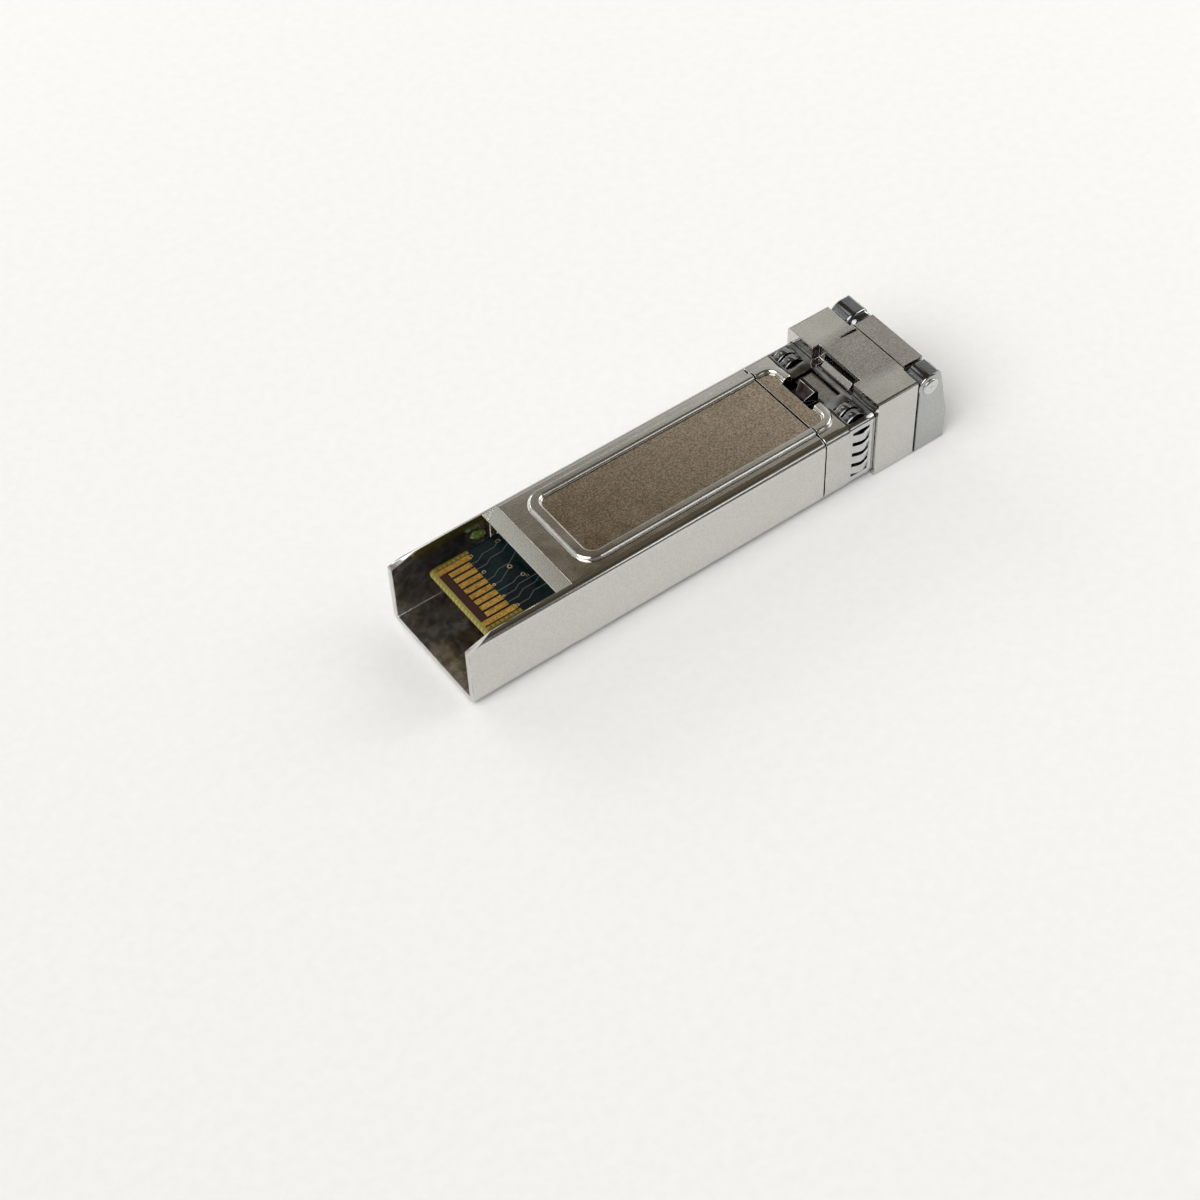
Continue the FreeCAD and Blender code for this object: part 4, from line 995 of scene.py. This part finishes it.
def plated_hole(number, u, y, ring):
    let_go()
    bpy.ops.mesh.primitive_cylinder_add(
        vertices=28, radius=ring * MM, depth=RING_HEIGHT * MM,
        location=at(u, y, BOARD_TOP + RING_MIDDLE),
    )
    eyelet = settle(bpy.context.object, f"plated_hole_{number}")

    def on_rim(edge):
        return bent(edge, 40) and edge.verts[0].co.z > at(0, 0, BOARD_TOP).z

    work_on(eyelet)
    pick(eyelet, "FACE", lambda face: face.normal.z > 0.9)
    bpy.ops.mesh.inset(thickness=ring / 2 * MM)
    drawn_out(z=-HOLE_DEPTH)
    pick(eyelet, "EDGE", on_rim)
    bpy.ops.mesh.bevel(offset=RING_EASE * MM, segments=2, affect="EDGES")
    put_down()
    return eyelet


def board_detail():
    tracks = joined("board_tracks", [track(number, points) for number, points in enumerate(TRACKS)])
    coat(tracks, masked_copper)
    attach(tracks, "module")
    holes = [plated_hole(number, *hole) for number, hole in enumerate(HOLES)]
    eyelets = joined("plated_holes", holes)
    coat(eyelets, hole_ring)
    smooth(eyelets, 30)
    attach(eyelets, "module")
    return tracks, eyelets


def resin_spot():
    # A drop of green resin that stakes the board's far edge to the wall
    let_go()
    bpy.ops.mesh.primitive_uv_sphere_add(
        segments=24, ring_count=14, radius=RESIN_RADIUS * MM,
        location=at(RESIN_U, RESIN_Y, BOARD_TOP),
    )
    drop = bpy.context.object
    drop.scale = RESIN_STRETCH
    settle(drop, "resin_spot")
    work_on(drop)
    for lump_u, lump_y, reach, lift in LUMPS:
        def on_lump(corner):
            u, y, z = where(corner.co)
            return (u - lump_u) ** 2 + (y - lump_y) ** 2 < reach ** 2

        pick(drop, "VERT", on_lump)
        moved(z=lift)
    bpy.ops.mesh.select_all(action="SELECT")
    bpy.ops.mesh.vertices_smooth(factor=0.5, repeat=2)
    put_down()
    smooth(drop, 180)
    coat(drop, green_resin)
    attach(drop, "module")
    return drop


tracks, eyelets = board_detail()
resin = resin_spot()


# Domed rivet heads that close the bail's pivot on both arms

RIVET_RADIUS, RIVET_DEPTH, RIVET_SEAT = 0.92, 0.1, 6.88
DOME_STEPS = [(0.02, 0.03), (0.09, 0.08), (0.12, 0.05), (0.17, 0.03), (0.24, 0.01), (0.05, -0.05)]


def pivot_rivets():
    heads = []
    for side in (-1, 1):
        let_go()
        bpy.ops.mesh.primitive_cylinder_add(
            vertices=72, radius=RIVET_RADIUS * MM, depth=RIVET_DEPTH * MM
        )
        head = bpy.context.object
        head.rotation_euler = (math.radians(90), 0.0, 0.0)
        head.location = at(HINGE_U, side * RIVET_SEAT, HINGE_Z)
        settle(head, "rivet_head")
        work_on(head)
        pick(head, "FACE", lambda face: side * face.normal.y > 0.9)
        for inward, rise in DOME_STEPS:
            bpy.ops.mesh.inset(thickness=inward * MM)
            moved(y=side * rise)
        put_down()
        smooth(head, 50)
        heads.append(head)
    rivets = joined("pivot_rivets", heads)
    coat(rivets, rivet_plate)
    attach(rivets, "bail")
    return rivets


rivets = pivot_rivets()


# Floor, light and camera

# The room's colour by height, from the horizon to high overhead
ROOM_STOPS = [
    (0.0, (0.90, 0.91, 0.89)),
    (0.40, (0.76, 0.76, 0.73)),
    (0.60, (0.68, 0.67, 0.64)),
    (0.69, (0.66, 0.65, 0.61)),
    (0.715, (0.56, 0.545, 0.50)),
    (0.745, (0.115, 0.085, 0.052)),
    (0.80, (0.12, 0.095, 0.06)),
    (0.90, (0.12, 0.10, 0.075)),
]
CAMERA_PLACE = (-0.095857, -0.127658, 0.178360)
CAMERA_TURN = (40.0838, 1.7532, -36.2124)
CAMERA_SENSOR, CAMERA_LENS = 36.0, 73.983


def studio_floor():
    let_go()
    bpy.ops.mesh.primitive_plane_add(size=6.0, location=(0.0, 0.0, 0.0))
    floor = bpy.context.object
    floor.name = "floor"
    finish, tree, shader = new_finish("pale_floor")
    grit = effect(tree, CAST_GRAIN, (-700, 0), Size=900.0, Pits=0.0)
    tone = grit.outputs["Tone"]
    tint = blended(tree, (-300, 100), tone, (0.915, 0.915, 0.91), (0.94, 0.94, 0.935))
    wire(tree, tint, shader.inputs["Base Color"])
    shader.inputs["Roughness"].default_value = 0.7
    coat(floor, finish)


def room_colour(tree, height):
    ramp = node(tree, "ShaderNodeValToRGB", (-450, 0))
    points = ramp.color_ramp.elements
    while len(points) < len(ROOM_STOPS):
        points.new(0.5)
    for point, (place, colour) in zip(points, ROOM_STOPS):
        point.position = place
        point.color = (*colour, 1.0)
    wire(tree, height, ramp.inputs["Fac"])
    return ramp.outputs["Color"]


def studio_room():
    # The room is darker on the near side and low on the far side
    room = bpy.data.worlds.new("room")
    bpy.context.scene.world = room
    room.use_nodes = True
    tree = room.node_tree
    tree.nodes.clear()
    place = node(tree, "ShaderNodeTexCoord", (-900, 0))
    way = axes(tree, (-700, 0), place.outputs["Generated"])
    near = ranged(tree, (-450, 300), way["Y"], begin=-0.70, end=-0.05, low=0.22, high=1.0)
    far = ranged(tree, (-450, 560), way["Y"], begin=0.60, end=0.85, low=1.0, high=0.55)
    sides = combined(tree, (-250, 400), "MULTIPLY", near, far)
    colour = room_colour(tree, way["Z"])
    shade = combined(tree, (-250, 100), "MULTIPLY", colour, sides, kind=VECTOR_MATH)
    light = node(tree, "ShaderNodeBackground", (-100, 0))
    wire(tree, shade, light.inputs["Color"])
    end = node(tree, "ShaderNodeOutputWorld", (150, 0))
    wire(tree, light.outputs["Background"], end.inputs["Surface"])


def lamp(kind, name, place, power):
    let_go()
    bpy.ops.object.light_add(type=kind, location=place)
    made = bpy.context.object
    made.name = name
    made.data.energy = power
    made.rotation_euler = (-Vector(place)).to_track_quat("-Z", "Y").to_euler()
    return made.data


def soft_lamp(name, place, size, power):
    light = lamp("AREA", name, place, power)
    light.shape = "RECTANGLE"
    light.size, light.size_y = size


def soft_sky(name, place, spread, power):
    light = lamp("SUN", name, place, power)
    light.angle = math.radians(spread)


def photo_camera():
    let_go()
    bpy.ops.object.camera_add(location=CAMERA_PLACE)
    camera = bpy.context.object
    camera.name = "photo_camera"
    camera.rotation_euler = [math.radians(angle) for angle in CAMERA_TURN]
    camera.data.sensor_width = CAMERA_SENSOR
    camera.data.lens = CAMERA_LENS
    camera.data.clip_start = 0.01
    camera.data.clip_end = 20.0
    bpy.context.scene.camera = camera


studio_floor()
studio_room()
soft_sky("key_light", (-0.34, -0.10, 0.42), 50, 2.1)
soft_lamp("fill_lamp", (0.50, -0.10, 0.28), (0.30, 0.30), 0.8)
soft_lamp("back_lamp", (-0.10, 0.46, 0.20), (0.40, 0.16), 0.5)
soft_lamp("edge_lamp", (0.205, -0.38, 0.25), (0.14, 0.08), 0.042)
soft_lamp("shoulder_lamp", (-0.23, 0.27, 0.36), (0.20, 0.20), 0.004)
soft_lamp("ramp_lamp", (-0.065, 0.265, 0.42), (0.12, 0.12), 0.045)
photo_camera()
bpy.context.scene.view_settings.view_transform = "Standard"
